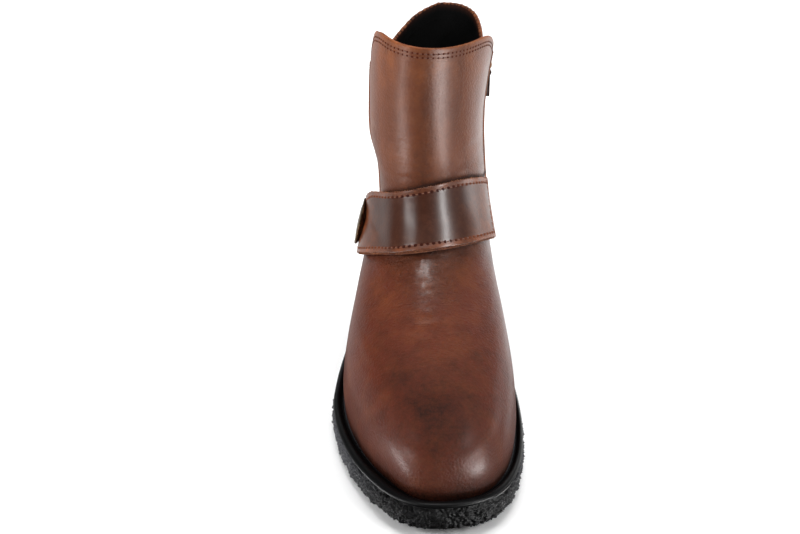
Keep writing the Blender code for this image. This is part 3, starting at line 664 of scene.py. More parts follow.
def settled(bench, geometry, finish):  # instances made real, smooth and finished
    real = bench.node("GeometryNodeRealizeInstances", {}, {"Geometry": geometry})
    smooth = bench.node("GeometryNodeSetShadeSmooth", {}, {"Geometry": real})
    return bench.node("GeometryNodeSetMaterial", {}, {"Geometry": smooth, "Material": finish})


def strewn(bench, points, shape, turn, size, finish):
    sockets = {"Points": points, "Instance": shape, "Rotation": turn, "Scale": size}
    return settled(bench, bench.node("GeometryNodeInstanceOnPoints", {}, sockets), finish)


def closeTree(bench, parts):
    joined = bench.node("GeometryNodeJoinGeometry", {}, {"Geometry": parts})
    end = bench.tree.nodes.new("NodeGroupOutput")
    bench.plug(end, {"Geometry": joined})
    return bench.tree


def sewnRowTree():
    bench, given = newTree("sewnRow", {
        "Pitch": "Float", "Length": "Float", "Width": "Float", "Rise": "Float", "Hole": "Float",
        "Wobble": "Float", "Seed": "Int", "Thread": "Material", "Needle Hole": "Material",
    })
    bead = bench.node("GeometryNodeMeshUVSphere", {}, {"Segments": 8, "Rings": 6, "Radius": 0.5})
    spread = {2: 1.0 - given["Wobble"], 3: 1.0 + given["Wobble"], "Seed": given["Seed"]}
    wobble = bench.node("FunctionNodeRandomValue", {"data_type": "FLOAT"}, spread, 1)
    sizes = {
        "Thread": bench.vectorOf(given["Length"] * wobble, given["Width"], given["Rise"] * wobble),
        "Needle Hole": bench.vectorOf(given["Hole"] * wobble, given["Hole"], given["Rise"] * 0.8),
    }
    parts = []
    for (label, size), ahead in zip(sizes.items(), (0.0, given["Pitch"] * 0.5)):
        points, turn = rowPoints(bench, given, ahead)
        parts.append(strewn(bench, points, bead, turn, size, given[label]))
    return closeTree(bench, parts)


def zipTeethTree():
    bench, given = newTree("zipTeeth", {
        "Pitch": "Float", "Width": "Float", "Length": "Float", "Height": "Float", "Aside": "Float",
        "Finish": "Material",
    })
    corners = {"Size": (1.0, 1.0, 1.0), "Vertices X": 2, "Vertices Y": 3, "Vertices Z": 2}
    block = bench.node("GeometryNodeMeshCube", {}, corners)
    size = bench.vectorOf(given["Length"], given["Width"], given["Height"])
    parts = []
    for side in (-1.0, 1.0):  # the two sides bite half a pitch apart
        points, turn = rowPoints(bench, given, given["Pitch"] * (0.25 * side), given["Aside"] * side)
        parts.append(strewn(bench, points, block, turn, size, given["Finish"]))
    return closeTree(bench, parts)


def frayTree():  # loose fibres along a raw edge
    bench, given = newTree("frayedEdge", {
        "Pitch": "Float", "Length": "Float", "Width": "Float", "Scatter": "Float", "Seed": "Int",
        "Finish": "Material",
    })
    anyTurn = 3.1

    def chance(kind, low, high, seed, first=0):
        sockets = {first: low, first + 1: high, "Seed": seed}
        return bench.node("FunctionNodeRandomValue", {"data_type": kind}, sockets, first // 2)

    points, _ = rowPoints(bench, given)
    scatter = bench.vectorOf(given["Scatter"], given["Scatter"], given["Scatter"])
    loose = chance("FLOAT_VECTOR", bench.scaled(scatter, -1.0), scatter, given["Seed"])
    points = bench.node("GeometryNodeSetPosition", {}, {"Geometry": points, "Offset": loose})
    spin = chance("FLOAT_VECTOR", (-anyTurn,) * 3, (anyTurn,) * 3, given["Seed"] + 1.0)
    stretch = chance("FLOAT", 0.5, 1.3, given["Seed"] + 2.0, first=2)
    fibre = bench.node("GeometryNodeMeshUVSphere", {}, {"Segments": 5, "Rings": 4, "Radius": 0.5})
    size = bench.vectorOf(given["Length"] * stretch, given["Width"] * stretch, given["Width"])
    return closeTree(bench, [strewn(bench, points, fibre, spin, size, given["Finish"])])


def crepeTree():  # rough crepe side: every point moves out by cells and clouds, where the mesh says so
    bench, given = newTree("crepeSide", {"Cell": "Float", "Bump": "Float", "Finish": "Material"})
    place = bench.node("GeometryNodeInputPosition")
    grains = {"Vector": place, "Scale": given["Cell"], "Smoothness": 0.25}
    cells = bench.node("ShaderNodeTexVoronoi", {"feature": "SMOOTH_F1"}, grains)
    lumps = {"Vector": place, "Scale": given["Cell"] * 0.32, "Detail": 3.0}
    clouds = bench.node("ShaderNodeTexNoise", {}, lumps)
    mask = bench.node("GeometryNodeInputNamedAttribute", {"data_type": "FLOAT"}, {"Name": "crepe"})
    amount = ((0.45 - cells) * 0.9 + (clouds - 0.5) * 2.2) * mask * given["Bump"]
    offset = bench.scaled(bench.node("GeometryNodeInputNormal"), amount)
    lifted = bench.node("ShaderNodeVectorMath", {"operation": "ADD"}, {0: place, 1: offset})
    x, y, z = (bench.node("ShaderNodeSeparateXYZ", {}, {"Vector": lifted}, output=i) for i in range(3))
    onFloor = bench.vectorOf(x, y, z.maths("MAXIMUM", z, 0.0))
    moved = bench.node("GeometryNodeSetPosition", {}, {"Geometry": given["Path"], "Position": onFloor})
    return closeTree(bench, [settled(bench, moved, given["Finish"])])


def grown(tree, source, inputs):  # the plain mesh that a tree makes from a mesh
    carrier = bpy.data.objects.new("carrier", source)
    bpy.context.scene.collection.objects.link(carrier)
    modifier = carrier.modifiers.new("grow", "NODES")
    modifier.node_group = tree
    for item in tree.interface.items_tree:
        if item.in_out == "INPUT" and item.name in inputs:
            modifier[item.identifier] = inputs[item.name]
    ready = carrier.evaluated_get(bpy.context.evaluated_depsgraph_get())
    mesh = bpy.data.meshes.new_from_object(ready)
    carrier.modifiers.remove(modifier)
    bpy.data.objects.remove(carrier)
    return mesh


def pathMesh(rows):  # rows of (points, facings) as loose lines that carry which way is out
    mesh = bpy.data.meshes.new("path")
    points = np.concatenate([p for p, _ in rows])
    facings = np.concatenate([f for _, f in rows])
    starts = np.cumsum([0] + [len(p) for p, _ in rows[:-1]])
    edges = [(s + i, s + i + 1) for s, (p, _) in zip(starts, rows) for i in range(len(p) - 1)]
    mesh.from_pydata(((points + last["toMiddle"]) * mm).tolist(), edges, [])
    layer = mesh.attributes.new("facing", "FLOAT_VECTOR", "POINT")
    layer.data.foreach_set("vector", facings.astype(np.float32).ravel())
    return mesh


sewnRow, zipTeeth, frayedEdge, crepeSide = sewnRowTree(), zipTeethTree(), frayTree(), crepeTree()
stitchLook = {
    "Length": 2.1 * mm, "Width": 0.85 * mm, "Rise": 0.50 * mm, "Hole": 1.5 * mm, "Wobble": 0.14, "Seed": 7,
    "Thread": thread, "Needle Hole": needleHole,
}
fibreLook = {"Width": 0.26 * mm, "Seed": 3, "Finish": looseFibre}


def sew(name, rows, changes, body="boot"):
    keep(name, grown(sewnRow, pathMesh(rows), {**stitchLook, **changes}), body=body)


def fray(name, rows, changes):
    keep(name, grown(frayedEdge, pathMesh(rows), {**fibreLook, **changes}))


# A row of stitches where each column of a sheet is that far along its run, inside the limits of other runs
def stitchRow(run, away, face, normals, limits):
    columns = range(run.shape[1])
    ordered = [np.argsort(run[:, c]) for c in columns]

    def readAt(sheet):
        return np.array([np.interp(away, run[o, c], sheet[o, c]) for c, o in zip(columns, ordered)])

    line, facing = (np.stack([readAt(sheet[..., i]) for i in range(3)], -1) for sheet in (face, normals))
    inside = np.all([readAt(other) > least for other, least in limits], axis=0)
    return line[inside], facing[inside]


creaseLook = {  # its reach and its ridges' place and width count in its own widths
    "reach": 5.0, "ridgeAt": 1.9, "ridgeWide": 0.9, "ridge": 0.45, "ends": (0.02, 0.98), "fade": 0.8,
    "steps": 48,
}


def creased(points, creases):  # soft troughs with a ridge on each side, along lines on the last
    off = np.zeros(points.shape[:2])
    look = creaseLook
    s = np.linspace(0, 1, look["steps"])
    for startAngle, startLevel, endAngle, endLevel, bow, width, depth in creases:
        climb = startLevel + (endLevel - startLevel) * s + bow * 4 * s * (1 - s)
        line = form(startAngle + (endAngle - startAngle) * s, climb)
        reach = look["reach"] * width
        near = np.all((points > line.min(0) - reach) & (points < line.max(0) + reach), -1)
        gaps = np.linalg.norm(points[near][:, None] - line[None], axis=-1)
        nearest = gaps.argmin(1)
        d = gaps[np.arange(len(gaps)), nearest]
        fade = np.sin(np.pi * np.clip(s[nearest], *look["ends"])) ** look["fade"]
        ridge = look["ridge"] * bell(d - look["ridgeAt"] * width, look["ridgeWide"] * width)
        off[near] += depth * fade * (ridge - bell(d, width))
    return off


def crumpled(points, strength, cell, stretch, least=0.004):  # small folds, as deep as the strength says
    off = np.zeros(points.shape[:2])
    for i, j in zip(*np.nonzero(strength > least)):
        x, y, z = points[i, j] / cell
        off[i, j] = strength[i, j] * noise.noise((x / stretch, y, z))
    return off


# Upper: vamp, quarters and shaft in one leather
# A piece's pairs are a start and a length for slope, or a strength and a width for spot; fives are soft spots
upperPiece = {
    "rows": 240, "columns": 340, "evenLevel": 0.12, "collarLevel": 0.95, "leather": 1.25, "edge": 0.6,
    "footRound": 5.0, "footPinch": 0.85, "slitScale": 0.9, "unslit": 9.0,
    "puckerPitch": 4.4, "puckerDepth": 0.16, "puckered": (112.0, 25.0),
    "crumple": 0.22, "crumpleCell": 1.8, "crumpleLong": 1.7,
    "seamScale": 0.62, "seam": (0.45, 0.9), "seamShade": (0.18, 5.0),  # a seam closes its back
    "liningEvery": 2, "liningDrop": 0.997, "liningGap": 0.1, "facing": (1.8, -0.8),
    "vampTop": (0.66, -0.16), "vampSide": (110.0, -40.0),
    "toeShade": ((0.56, 0.212, 0.075, 8.0, 32.0),), "toeFrom": (-40.0, -30.0),
    "shadedAndBurnishedSpots": ((0.46, 0.34, 0.08, 2.0, 34.0), (0.22, 0.285, 0.035, 4.0, 16.0)), "footShade": (0.85, 0.055),
    "rubbed": ((0.22, 0.55, 0.10, 12.0, 20.0),),
    "flexed": ((1.0, 0.575, 0.075, 2.0, 26.0),), "flexedVamp": (0.30, 0.44, 0.12),  # strength, level, width
    "creases": (  # from and to angle and level, bow in levels, width and depth in millimetres
        (-52, 0.470, 30, 0.500, -0.010, 2.2, 0.15),
        (-30, 0.525, 46, 0.515, -0.012, 1.8, 0.13),
        (-58, 0.425, 8, 0.455, -0.008, 2.4, 0.12),
        (14, 0.455, 62, 0.405, -0.006, 2.0, 0.15),
        (20, 0.415, 66, 0.350, -0.006, 2.2, 0.13),
        (-70, 0.330, -34, 0.350, -0.006, 2.2, 0.12),
        (-66, 0.270, -38, 0.290, -0.004, 2.0, 0.10),
        (-40, 0.560, 20, 0.575, -0.008, 1.4, 0.10),
        (-16, 0.600, 34, 0.590, -0.006, 1.2, 0.09),
        (62, 0.560, 100, 0.470, 0.006, 3.0, 0.23),
        (66, 0.500, 110, 0.400, 0.006, 3.4, 0.20),
        (-112, 0.480, -66, 0.560, 0.006, 3.2, 0.23),
        (-120, 0.410, -74, 0.480, 0.004, 3.4, 0.20),
        (128, 0.600, 168, 0.575, -0.006, 3.2, 0.20),
        (-168, 0.575, -130, 0.600, -0.006, 3.2, 0.20),
        (136, 0.520, 172, 0.500, -0.006, 3.0, 0.16),
        (-172, 0.500, -138, 0.520, -0.006, 3.0, 0.16),
    ),
}


def zipTurned(angles, levels, footHeight):  # columns lean with the zip and close to a round foot below it
    middle, half = np.mean(last["zipEdges"]), np.ptp(last["zipEdges"]) / 2
    aside = signed(angles - middle)
    near = easeStep((last["zipSpread"] - np.abs(aside)) / (last["zipSpread"] - half))
    far = np.clip(1 - np.abs(footHeight) / upperPiece["footRound"], 0, 1)
    pinch = upperPiece["footPinch"] * (1 - np.sqrt(1 - far**2))
    close = easeStep(1 - (np.abs(aside) - half) / (3 * half))
    return angles + smoothThrough(last["zipLean"], 1, levels) * near - aside * pinch * close, aside, half


def makeUpper():
    piece, every = upperPiece, gridding["backEvery"]
    low, high = last["zipEdges"][1], last["zipEdges"][0] + 360
    angles = evenColumns(piece, low, high, gridding["roundSteps"])
    angles = np.concatenate([angles, high + np.ptp(last["zipEdges"]) * np.arange(1, every) / every])
    climb = np.linspace(0, 1, gridding["climbSteps"])
    heights = np.mean([runs(form(turn, climb)) for turn in (0, 90, 180, 270)], axis=0)
    rise = edgeShares(piece["rows"], heights[-1], piece["edge"], both=False) * heights[-1]
    shares = np.interp(rise, heights, climb)
    foot = every * round(np.searchsorted(shares, last["zipFoot"]) / every)
    arc = runs(form(np.append(angles, angles[0] + 360), piece["collarLevel"]))[:-1]
    wave = np.cos(2 * np.pi * arc / piece["puckerPitch"]) - 1
    backwards = slope(np.abs(signed(angles)), *piece["puckered"])
    top = collar(angles) + piece["puckerDepth"] * backwards * wave / last["shaftHeight"]
    levels = shares[:, None] * top[None, :]
    turned, aside, half = zipTurned(angles[None, :], levels, (levels - levels[foot]) * last["shaftHeight"])
    points = form(turned, levels)
    normals = gridNormals(points, closed=True)
    x, y = points[..., 0], points[..., 1]
    fromTop = (top - levels) * last["shaftHeight"]
    fromSlit = np.where(levels >= levels[foot], (np.abs(aside) - half) * piece["slitScale"], piece["unslit"])
    fromSeam = np.abs((angles + 360) % 360 - 180) * piece["seamScale"]
    flex = softSpots(piece["flexed"], levels, x) * (y < 0)
    off = creased(points, piece["creases"])
    off += crumpled(points, piece["crumple"] * flex, piece["crumpleCell"], piece["crumpleLong"])
    off -= rolled(np.minimum(fromTop, np.maximum(fromSlit, 0)), piece["edge"])
    off -= spot(fromSeam, *piece["seam"])
    toeShade = softSpots(piece["toeShade"], levels, x) * slope(y, *piece["toeFrom"])
    shade = spot(levels, *piece["footShade"]) + spot(fromSeam, *piece["seamShade"])
    vampFlex, vampLevel, vampOver = piece["flexedVamp"]
    paint = {
        "tone": slope(levels, *piece["vampTop"]) * slope(np.abs(signed(turned)), *piece["vampSide"]),
        "burnishAndShade": toeShade + softSpots(piece["shadedAndBurnishedSpots"], levels, x) + shade,
        "pull": softSpots(piece["rubbed"], levels, x),
        "flex": np.clip(flex + spot(levels - vampLevel, vampFlex, vampOver), 0, 1),
    }

    def slit(step):  # the cells that are left open for the zip
        return slice(foot // step, None), slice(piece["columns"] // step, None)

    face = points + normals * off[..., None]
    mesh = shellMesh("upper", face, points - normals * piece["leather"], True, slit(every), paint=paint)
    keep("bootUpper", mesh, [upperLeather, cutEdge], replaces=["upper"])

    coarser = (slice(None, None, piece["liningEvery"]),) * 2
    lowered = form(turned[coarser], levels[coarser] * piece["liningDrop"])
    inwards = gridNormals(lowered, closed=True)
    face, back = (lowered - inwards * deep for deep in (last["wall"], piece["leather"] + piece["liningGap"]))
    paint = {"facing": slope(fromTop[coarser], *piece["facing"])}
    mesh = shellMesh("lining", face, back, True, slit(every * piece["liningEvery"]), True, paint)
    keep("shaftLining", mesh, [lining, lining])


makeUpper()


# Front panel over the shaft
panelPiece = {
    "angles": (-90.0, 90.0), "rows": 128, "columns": 160, "evenLevel": 0.9, "nominalHeight": 85.0,
    "gap": 0.5, "thick": 1.6, "edge": 0.5, "collarLevel": 0.95, "cornerRound": (3.0, 3.0),
    "flare": 5.0, "flareFrom": 0.83, "flareBend": 1.3, "flareAngle": 40.0,
    "outline": (  # angle, level of the lower and the upper edge
        (-90, 0.620, 0.926), (-84, 0.627, 0.948), (-76, 0.633, 0.967), (-66, 0.640, 0.981),
        (-50, 0.648, 0.987), (-28, 0.653, 0.985), (0, 0.655, 0.982), (40, 0.635, 0.978),
        (60, 0.590, 0.976), (70, 0.560, 0.973), (80, 0.530, 0.9625), (90, 0.480, 0.944),
    ),
    "sideShift": (  # level, degrees that the left and the right edge lie further inwards or back
        (0.45, 3.0, 7.0), (0.60, 5.0, 5.5), (0.68, 8.0, 2.5), (0.75, 10.0, 1.0), (0.82, 7.0, 0.0),
        (0.90, 5.0, 0.0), (1.0, 3.0, 0.0),
    ),
    "creases": (  # as the upper's
        (-46, 0.770, 10, 0.790, -0.006, 1.6, 0.10),
        (-40, 0.800, 4, 0.815, -0.006, 1.5, 0.08),
        (-36, 0.835, -2, 0.850, -0.004, 1.4, 0.07),
        (-60, 0.745, -8, 0.760, -0.006, 1.8, 0.12),
        (24, 0.760, 66, 0.745, 0.004, 2.2, 0.26),
        (40, 0.800, 80, 0.770, 0.004, 2.6, 0.30),
        (-84, 0.800, -52, 0.830, 0.004, 2.6, 0.28),
    ),
    "crumple": 0.10, "crumpleCell": 1.7, "crumpleLong": 3.0, "flexed": ((1.0, 0.80, 0.055, -10.0, 12.0),),
    "lip": 1.1, "lipOver": 2.4, "lipBend": 0.8, "lipSwell": 0.2,  # its raw side edges curl out
    "swing": 0.5, "swingAt": -3.0, "swingWide": 34.0,  # worn a little out of true
    "swingLevel": 0.85, "swingOver": 0.10,
    "plainRed": 0.15, "lowRed": 0.4, "redFrom": (0.8, -0.1), "wrinkled": 0.3,
    # painted shadow: a thin dark line on the shaft just above the strap; painted shade: the low shaft darker
    # above the strap
    "shadow": (0.9, 1.6), "shadedAndBurnishedSpots": ((0.52, 0.715, 0.05, 2.0, 26.0),),
    # painted shade: a dark band down the shaft's middle, between its two highlights
    "middleShade": (0.24, 6.0), "middleAt": -2.0, "middleFrom": (0.95, -0.1),
    "rubbedEdge": (0.45, 1.6), "rubbedSide": (0.75, 2.4), "rubbedTop": 0.34, "rubbedFrom": (0.88, 0.09),
    "stitchRows": (3.2, 5.4), "sideRow": 3.0, "rowGap": 1.0, "sideGap": 2.0, "groove": (0.05, 0.7),
    "stitch": {
        "Pitch": 3.0 * mm, "Length": 1.7 * mm, "Width": 0.7 * mm, "Rise": 0.50 * mm, "Hole": 1.25 * mm,
        "Needle Hole": panelHole,
    },
    "fray": {"Pitch": 0.6 * mm, "Length": 0.7 * mm, "Scatter": 0.15 * mm},
}
strapPiece = {
    "lower": {"y": -14.0, "z": 97.2, "tilt": 20.5, "roll": 11.2},
    "upper": {"y": 8.0, "z": 126.5, "tilt": 18.0, "roll": 10.8},
    "angles": (-118.0, 74.0), "rows": 56, "columns": 220, "evenLevel": 0.66, "nominalWide": 34.0,
    "round": 28.0, "blunt": 0.985, "search": (0.3, 0.95), "gap": 0.3, "thick": 3.0, "edge": 0.35,
    "bow": (  # angle, rise of the upper and the lower edge
        (-118, -13.0, 0.4), (-92, -7.0, 0.7), (-80, -4.0, 0.9), (-70, -1.2, 1.1), (-58, 0.8, 1.2),
        (-10, 0.2, 0.3), (28, 1.3, -1.4), (55, -0.4, -2.4), (74, -3.3, -3.4),
    ),
    "standOff": 5.0, "stands": (-42.0, -38.0), "returns": (-82.0, -24.0),  # it gapes at the outer side
    "kick": 2.0, "kickFrom": -25.0, "gape": 0.9, "taut": 0.80, "soft": 3.0, "endSags": 0.8,
    "lean": 3.0, "leanAt": 10.0, "leanOver": 55.0,  # its cut runs square to its length
    "topLayer": 1.6, "glue": 0.05, "underShows": 0.7, "underEdge": 0.4, "levelLength": 330.0,
    "stitchRun": 3.2, "stitchEnd": 9.0, "groove": (0.10, 0.8), "crown": 0.12, "crownOver": 9.0,
    "redEdge": (0.35, 6.0), "rubbedOut": 1.0, "rubbedOver": -1.8, "rubbed": 0.66, "wrinkled": 0.5,
    # painted sheen: the strap's two ends lighter, with less coat
    "paintedSheenEnds": ((0.65, -46.0, -34.0), (0.60, 34.0, 24.0)),
    "stitch": {"Pitch": 3.5 * mm, "Length": 1.7 * mm, "Hole": 1.9 * mm, "Needle Hole": strapHole},
    "fray": {"Pitch": 0.40 * mm, "Length": 0.95 * mm, "Scatter": 0.30 * mm},
}


def strapOff(angles):
    overPanel = panelPiece["gap"] + panelPiece["thick"] + strapPiece["gap"]
    past = easeStep((strapPiece["angles"][0] + strapPiece["round"] - angles) / strapPiece["round"])
    return overPanel + (strapPiece["gap"] - overPanel) * past


def strapEdge(angles, name):  # where the last meets the bowed plane of that edge
    edge, column = strapPiece[name], {"upper": 1, "lower": 2}[name]
    bow = smoothThrough(strapPiece["bow"], column, np.clip(angles, *strapPiece["angles"]))
    fall, rise = (math.tan(math.radians(edge[way])) for way in ("tilt", "roll"))
    off = strapOff(angles)
    low, high = (np.full_like(angles, level) for level in strapPiece["search"])
    for _ in range(gridding["halvings"]):
        middle = (low + high) / 2
        p = skin(angles, middle, off)
        below = p[..., 2] < edge["z"] + bow - fall * (p[..., 1] - edge["y"]) + rise * p[..., 0]
        low, high = np.where(below, middle, low), np.where(below, high, middle)
    return (low + high) / 2


def panelGrid(angles, shares):
    piece = panelPiece
    bottom, top = (smoothThrough(piece["outline"], i, angles) for i in (1, 2))
    arc = runs(form(angles, piece["collarLevel"]))
    left, right = piece["cornerRound"]
    top = top - (rolled(arc, left) + rolled(arc[-1] - arc, right)) / last["shaftHeight"]
    levels = bottom + (top - bottom) * np.asarray(shares)[:, None]
    reach = smoothThrough(piece["outline"], 2, np.array([0.0]))[0] - piece["flareFrom"]
    corner = np.clip((levels - piece["flareFrom"]) / reach, 0, 1) ** piece["flareBend"]
    edge = np.clip((angles - piece["flareAngle"]) / (piece["angles"][1] - piece["flareAngle"]), 0, 1) ** 2
    left, right = (smoothThrough(piece["sideShift"], i, levels) for i in (1, 2))
    turned = angles + left * np.clip(-angles / 90, 0, 1) ** 2 + right * np.clip(angles / 90, 0, 1) ** 2
    return skin(turned, levels, piece["gap"] + piece["flare"] * corner * edge), levels


def makePanel():
    piece = panelPiece
    angles = evenColumns(piece, *piece["angles"])
    inner, levels = panelGrid(angles, edgeShares(piece["rows"], piece["nominalHeight"], piece["edge"]))
    normals = gridNormals(inner)
    edges = edgeRuns(inner)
    left, right, _, top = edges
    nearest, sides = np.minimum.reduce(edges), np.minimum(left, right)
    off = piece["thick"] + creased(inner, piece["creases"]) - rolled(nearest, piece["edge"])
    for run in piece["stitchRows"]:
        off = off - spot(top - run, *piece["groove"])
    lip = piece["lip"] * easeStep(1 - sides / piece["lipOver"])
    inner, off = inner + normals * lip[..., None] * piece["lipBend"], off + lip * piece["lipSwell"]
    x = inner[..., 0]
    flex = softSpots(piece["flexed"], levels, x)
    off = off + crumpled(inner, piece["crumple"] * flex, piece["crumpleCell"], piece["crumpleLong"])
    swing = np.clip((levels - piece["swingLevel"]) / piece["swingOver"], -1, 1)
    sway = np.clip((x - piece["swingAt"]) / piece["swingWide"], -1, 1)
    off = off - piece["swing"] * np.sin(np.pi * sway) * swing
    face = inner + normals * off[..., None]
    shade = spot((levels - strapEdge(angles, "upper")) * last["shaftHeight"], *piece["shadow"])
    middleShade = spot(x - piece["middleAt"], *piece["middleShade"]) * slope(levels, *piece["middleFrom"])
    rubbed = spot(nearest, *piece["rubbedEdge"]) + spot(sides, *piece["rubbedSide"])
    paint = {
        "tone": piece["plainRed"] + piece["lowRed"] * slope(levels, *piece["redFrom"]),
        "burnishAndShade": shade + softSpots(piece["shadedAndBurnishedSpots"], levels, x) + middleShade,
        "pull": rubbed + piece["rubbedTop"] * slope(levels, *piece["rubbedFrom"]),
        "flex": piece["wrinkled"] * flex,
    }
    mesh = shellMesh("panel", face, inner, paint=paint)
    keep("frontPanel", mesh, [panelLeather, cutEdge], replaces=["front_panel"])
    raw = ((-1, slice(None)), (slice(None), -1), (slice(None), 0))  # its upper, right and left edge
    fray("panelFibres", [(face[edge], normals[edge]) for edge in raw], piece["fray"])
    fromSide, fromRows = piece["sideRow"] + piece["rowGap"], piece["stitchRows"][-1] + piece["sideGap"]
    limits = [(left, fromSide), (right, fromSide)]
    rows = [stitchRow(top, run, face, normals, limits) for run in piece["stitchRows"]]
    across = (face.swapaxes(0, 1), normals.swapaxes(0, 1), [(top.T, fromRows)])
    rows += [stitchRow(run.T, piece["sideRow"], *across) for run in (left, right)]
    sew("panelStitches", rows, piece["stitch"])


makePanel()


# Strap over the instep, two leathers sewn together
def strapGrid(angles, across, more=0.0):  # more makes its lower edge longer
    piece = strapPiece
    past = 2 * piece["lean"]
    fine = np.linspace(angles[0] - past, angles[-1] + past, gridding["strapSteps"])
    up = across[:, None]
    turned = angles + piece["lean"] * bell(angles - piece["leanAt"], piece["leanOver"]) * (1 - 2 * up)
    high, low = (np.interp(turned, fine, strapEdge(fine, name)) for name in ("upper", "lower"))
    intoEnd = np.clip(1 - (turned - piece["angles"][0]) / piece["round"], 0, piece["blunt"])
    half = (high - low) / 2 * np.sqrt(1 - intoEnd**2)
    levels = (low + high) / 2 + half * (2 * up - 1) - more / piece["levelLength"] * (1 - up)
    close, out = skin(turned, levels, strapOff(turned)), outward(turned, levels)
    straight = close[0] + (close[-1] - close[0]) * across[:, None, None]
    bridged = np.sum((straight - close) * out, -1)
    lift = (bridged + np.sqrt(bridged**2 + piece["soft"] ** 2)) / 2 - piece["soft"] / 2
    back = slope(turned, *piece["returns"])
    taut = (piece["taut"] + (1 - piece["taut"]) * (2 * up - 1) ** 2) * (1 - piece["endSags"] * back)
    stand = piece["standOff"] * slope(turned, *piece["stands"]) * (1 - back) * up
    kick = np.clip((turned - piece["kickFrom"]) / (piece["angles"][1] - piece["kickFrom"]), 0, 1) * (1 - up)
    return close + out * (lift * taut + stand + piece["kick"] * kick + piece["gape"] * up**3)[..., None]


def makeStrap():
    piece = strapPiece
    angles = evenColumns(piece, *piece["angles"])
    across = edgeShares(piece["rows"], piece["nominalWide"], piece["edge"])
    inner = strapGrid(angles, across)
    normals = gridNormals(inner)
    edges = edgeRuns(inner)
    left, right, lower, upper = edges
    nearest = np.minimum.reduce(edges)
    crown = piece["crown"] * slope(nearest, piece["stitchRun"], piece["crownOver"])
    off = piece["thick"] - piece["crown"] + crown - rolled(nearest, piece["edge"])
    off -= spot(nearest - piece["stitchRun"], *piece["groove"])
    face = inner + normals * off[..., None]
    rubbed = slope(nearest, piece["stitchRun"] + piece["rubbedOut"], piece["rubbedOver"])
    # painted sheen on the strap's ends, added to the pull paint
    paintedSheenEnds = sum(strength * slope(angles, start, over) for strength, start, over in piece["paintedSheenEnds"])
    paint = {
        "tone": spot(nearest, *piece["redEdge"]),
        "pull": piece["rubbed"] * rubbed + paintedSheenEnds,
        "flex": piece["wrinkled"] * rubbed,
    }
    under = piece["thick"] - piece["topLayer"]
    mesh = shellMesh("strap", face, inner + normals * (under + piece["glue"]), paint=paint)
    keep("instepStrap", mesh, [strapLeather, cutEdge], replaces=["strap"])
    longer = strapGrid(angles, across, piece["underShows"])
    lowerFace = longer + normals * (under - piece["glue"] - rolled(nearest, piece["underEdge"]))[..., None]
    keep("strapUnderLayer", shellMesh("strapUnder", lowerFace, longer), [cutEdge, cutEdge])
    raw = [(face[-1], normals[-1]), (face[0], normals[0]), (longer[0] + normals[0] * under, normals[0])]
    fray("strapFibres", raw, piece["fray"])
    run = piece["stitchRun"]
    limits = [(left, piece["stitchEnd"]), (right, run)]
    rows = [stitchRow(edge, run, face, normals, limits) for edge in (lower, upper)]
    limits = [(np.minimum(lower, upper).T, run)]
    rows.append(stitchRow(right.T, run, face.swapaxes(0, 1), normals.swapaxes(0, 1), limits))
    sew("strapStitches", rows, piece["stitch"])


makeStrap()
print("leather pieces made")


# Stud on the strap's outer end
studPiece = {
    "angle": -92.0, "seat": 6.0, "gap": -0.7, "steps": 96,
    "profile": (  # radius and height, from the cap's middle round its rim to the foot's middle
        (0.0, 3.9), (4.5, 3.85), (9.0, 3.6), (12.4, 2.9), (13.6, 3.3), (14.8, 2.9), (14.8, 1.6), (13.2, 0.9),
        (13.0, 0.0), (0.0, 0.0),
    ),
}


def spotFrame(patch, off):  # axes along, up and out of a patch of three by three points, and their origin
    around, up = patch[1, 2] - patch[1, 0], patch[2, 1] - patch[0, 1]
    out = np.cross(around, up)
    side = np.cross(up, out)
    axes = unit(np.stack([side, np.cross(out, side), out]))
    return axes, patch[1, 1] + axes[2] * off


def turnedMesh(name, profile, steps, axes, origin):
    turns = np.linspace(0, 2 * np.pi, steps, endpoint=False)
    ways = np.stack([np.cos(turns), np.sin(turns), 0 * turns], -1)
    rings = [ways * r + (0, 0, h) for r, h in profile[1:-1]]
    points = np.concatenate([[(0, 0, profile[0][1])], *rings, [(0, 0, profile[-1][1])]])
    k = np.arange(steps)
    after = (k + 1) % steps
    faces = np.stack([0 * k, 1 + k, 1 + after], 1).tolist()
    for i in range(len(rings) - 1):
        low, high = 1 + i * steps, 1 + (i + 1) * steps
        faces += np.stack([low + k, high + k, high + after, low + after], 1).tolist()
    foot = 1 + (len(rings) - 1) * steps
    faces += np.stack([0 * k + len(points) - 1, foot + after, foot + k], 1).tolist()
    return meshFrom(name, points @ axes + origin, faces)


def makeStud():
    piece = studPiece
    around = piece["angle"] + piece["seat"] * np.array([-1.0, 0.0, 1.0])
    patch = strapGrid(around, np.array([0.0, 0.5, 1.0]))
    axes, origin = spotFrame(patch, strapPiece["thick"] + piece["gap"])
    mesh = turnedMesh("stud", roundOpen(np.array(piece["profile"])), piece["steps"], axes, origin)
    keep("strapStud", mesh, [agedBrass], replaces=["strap_stud"])


makeStud()


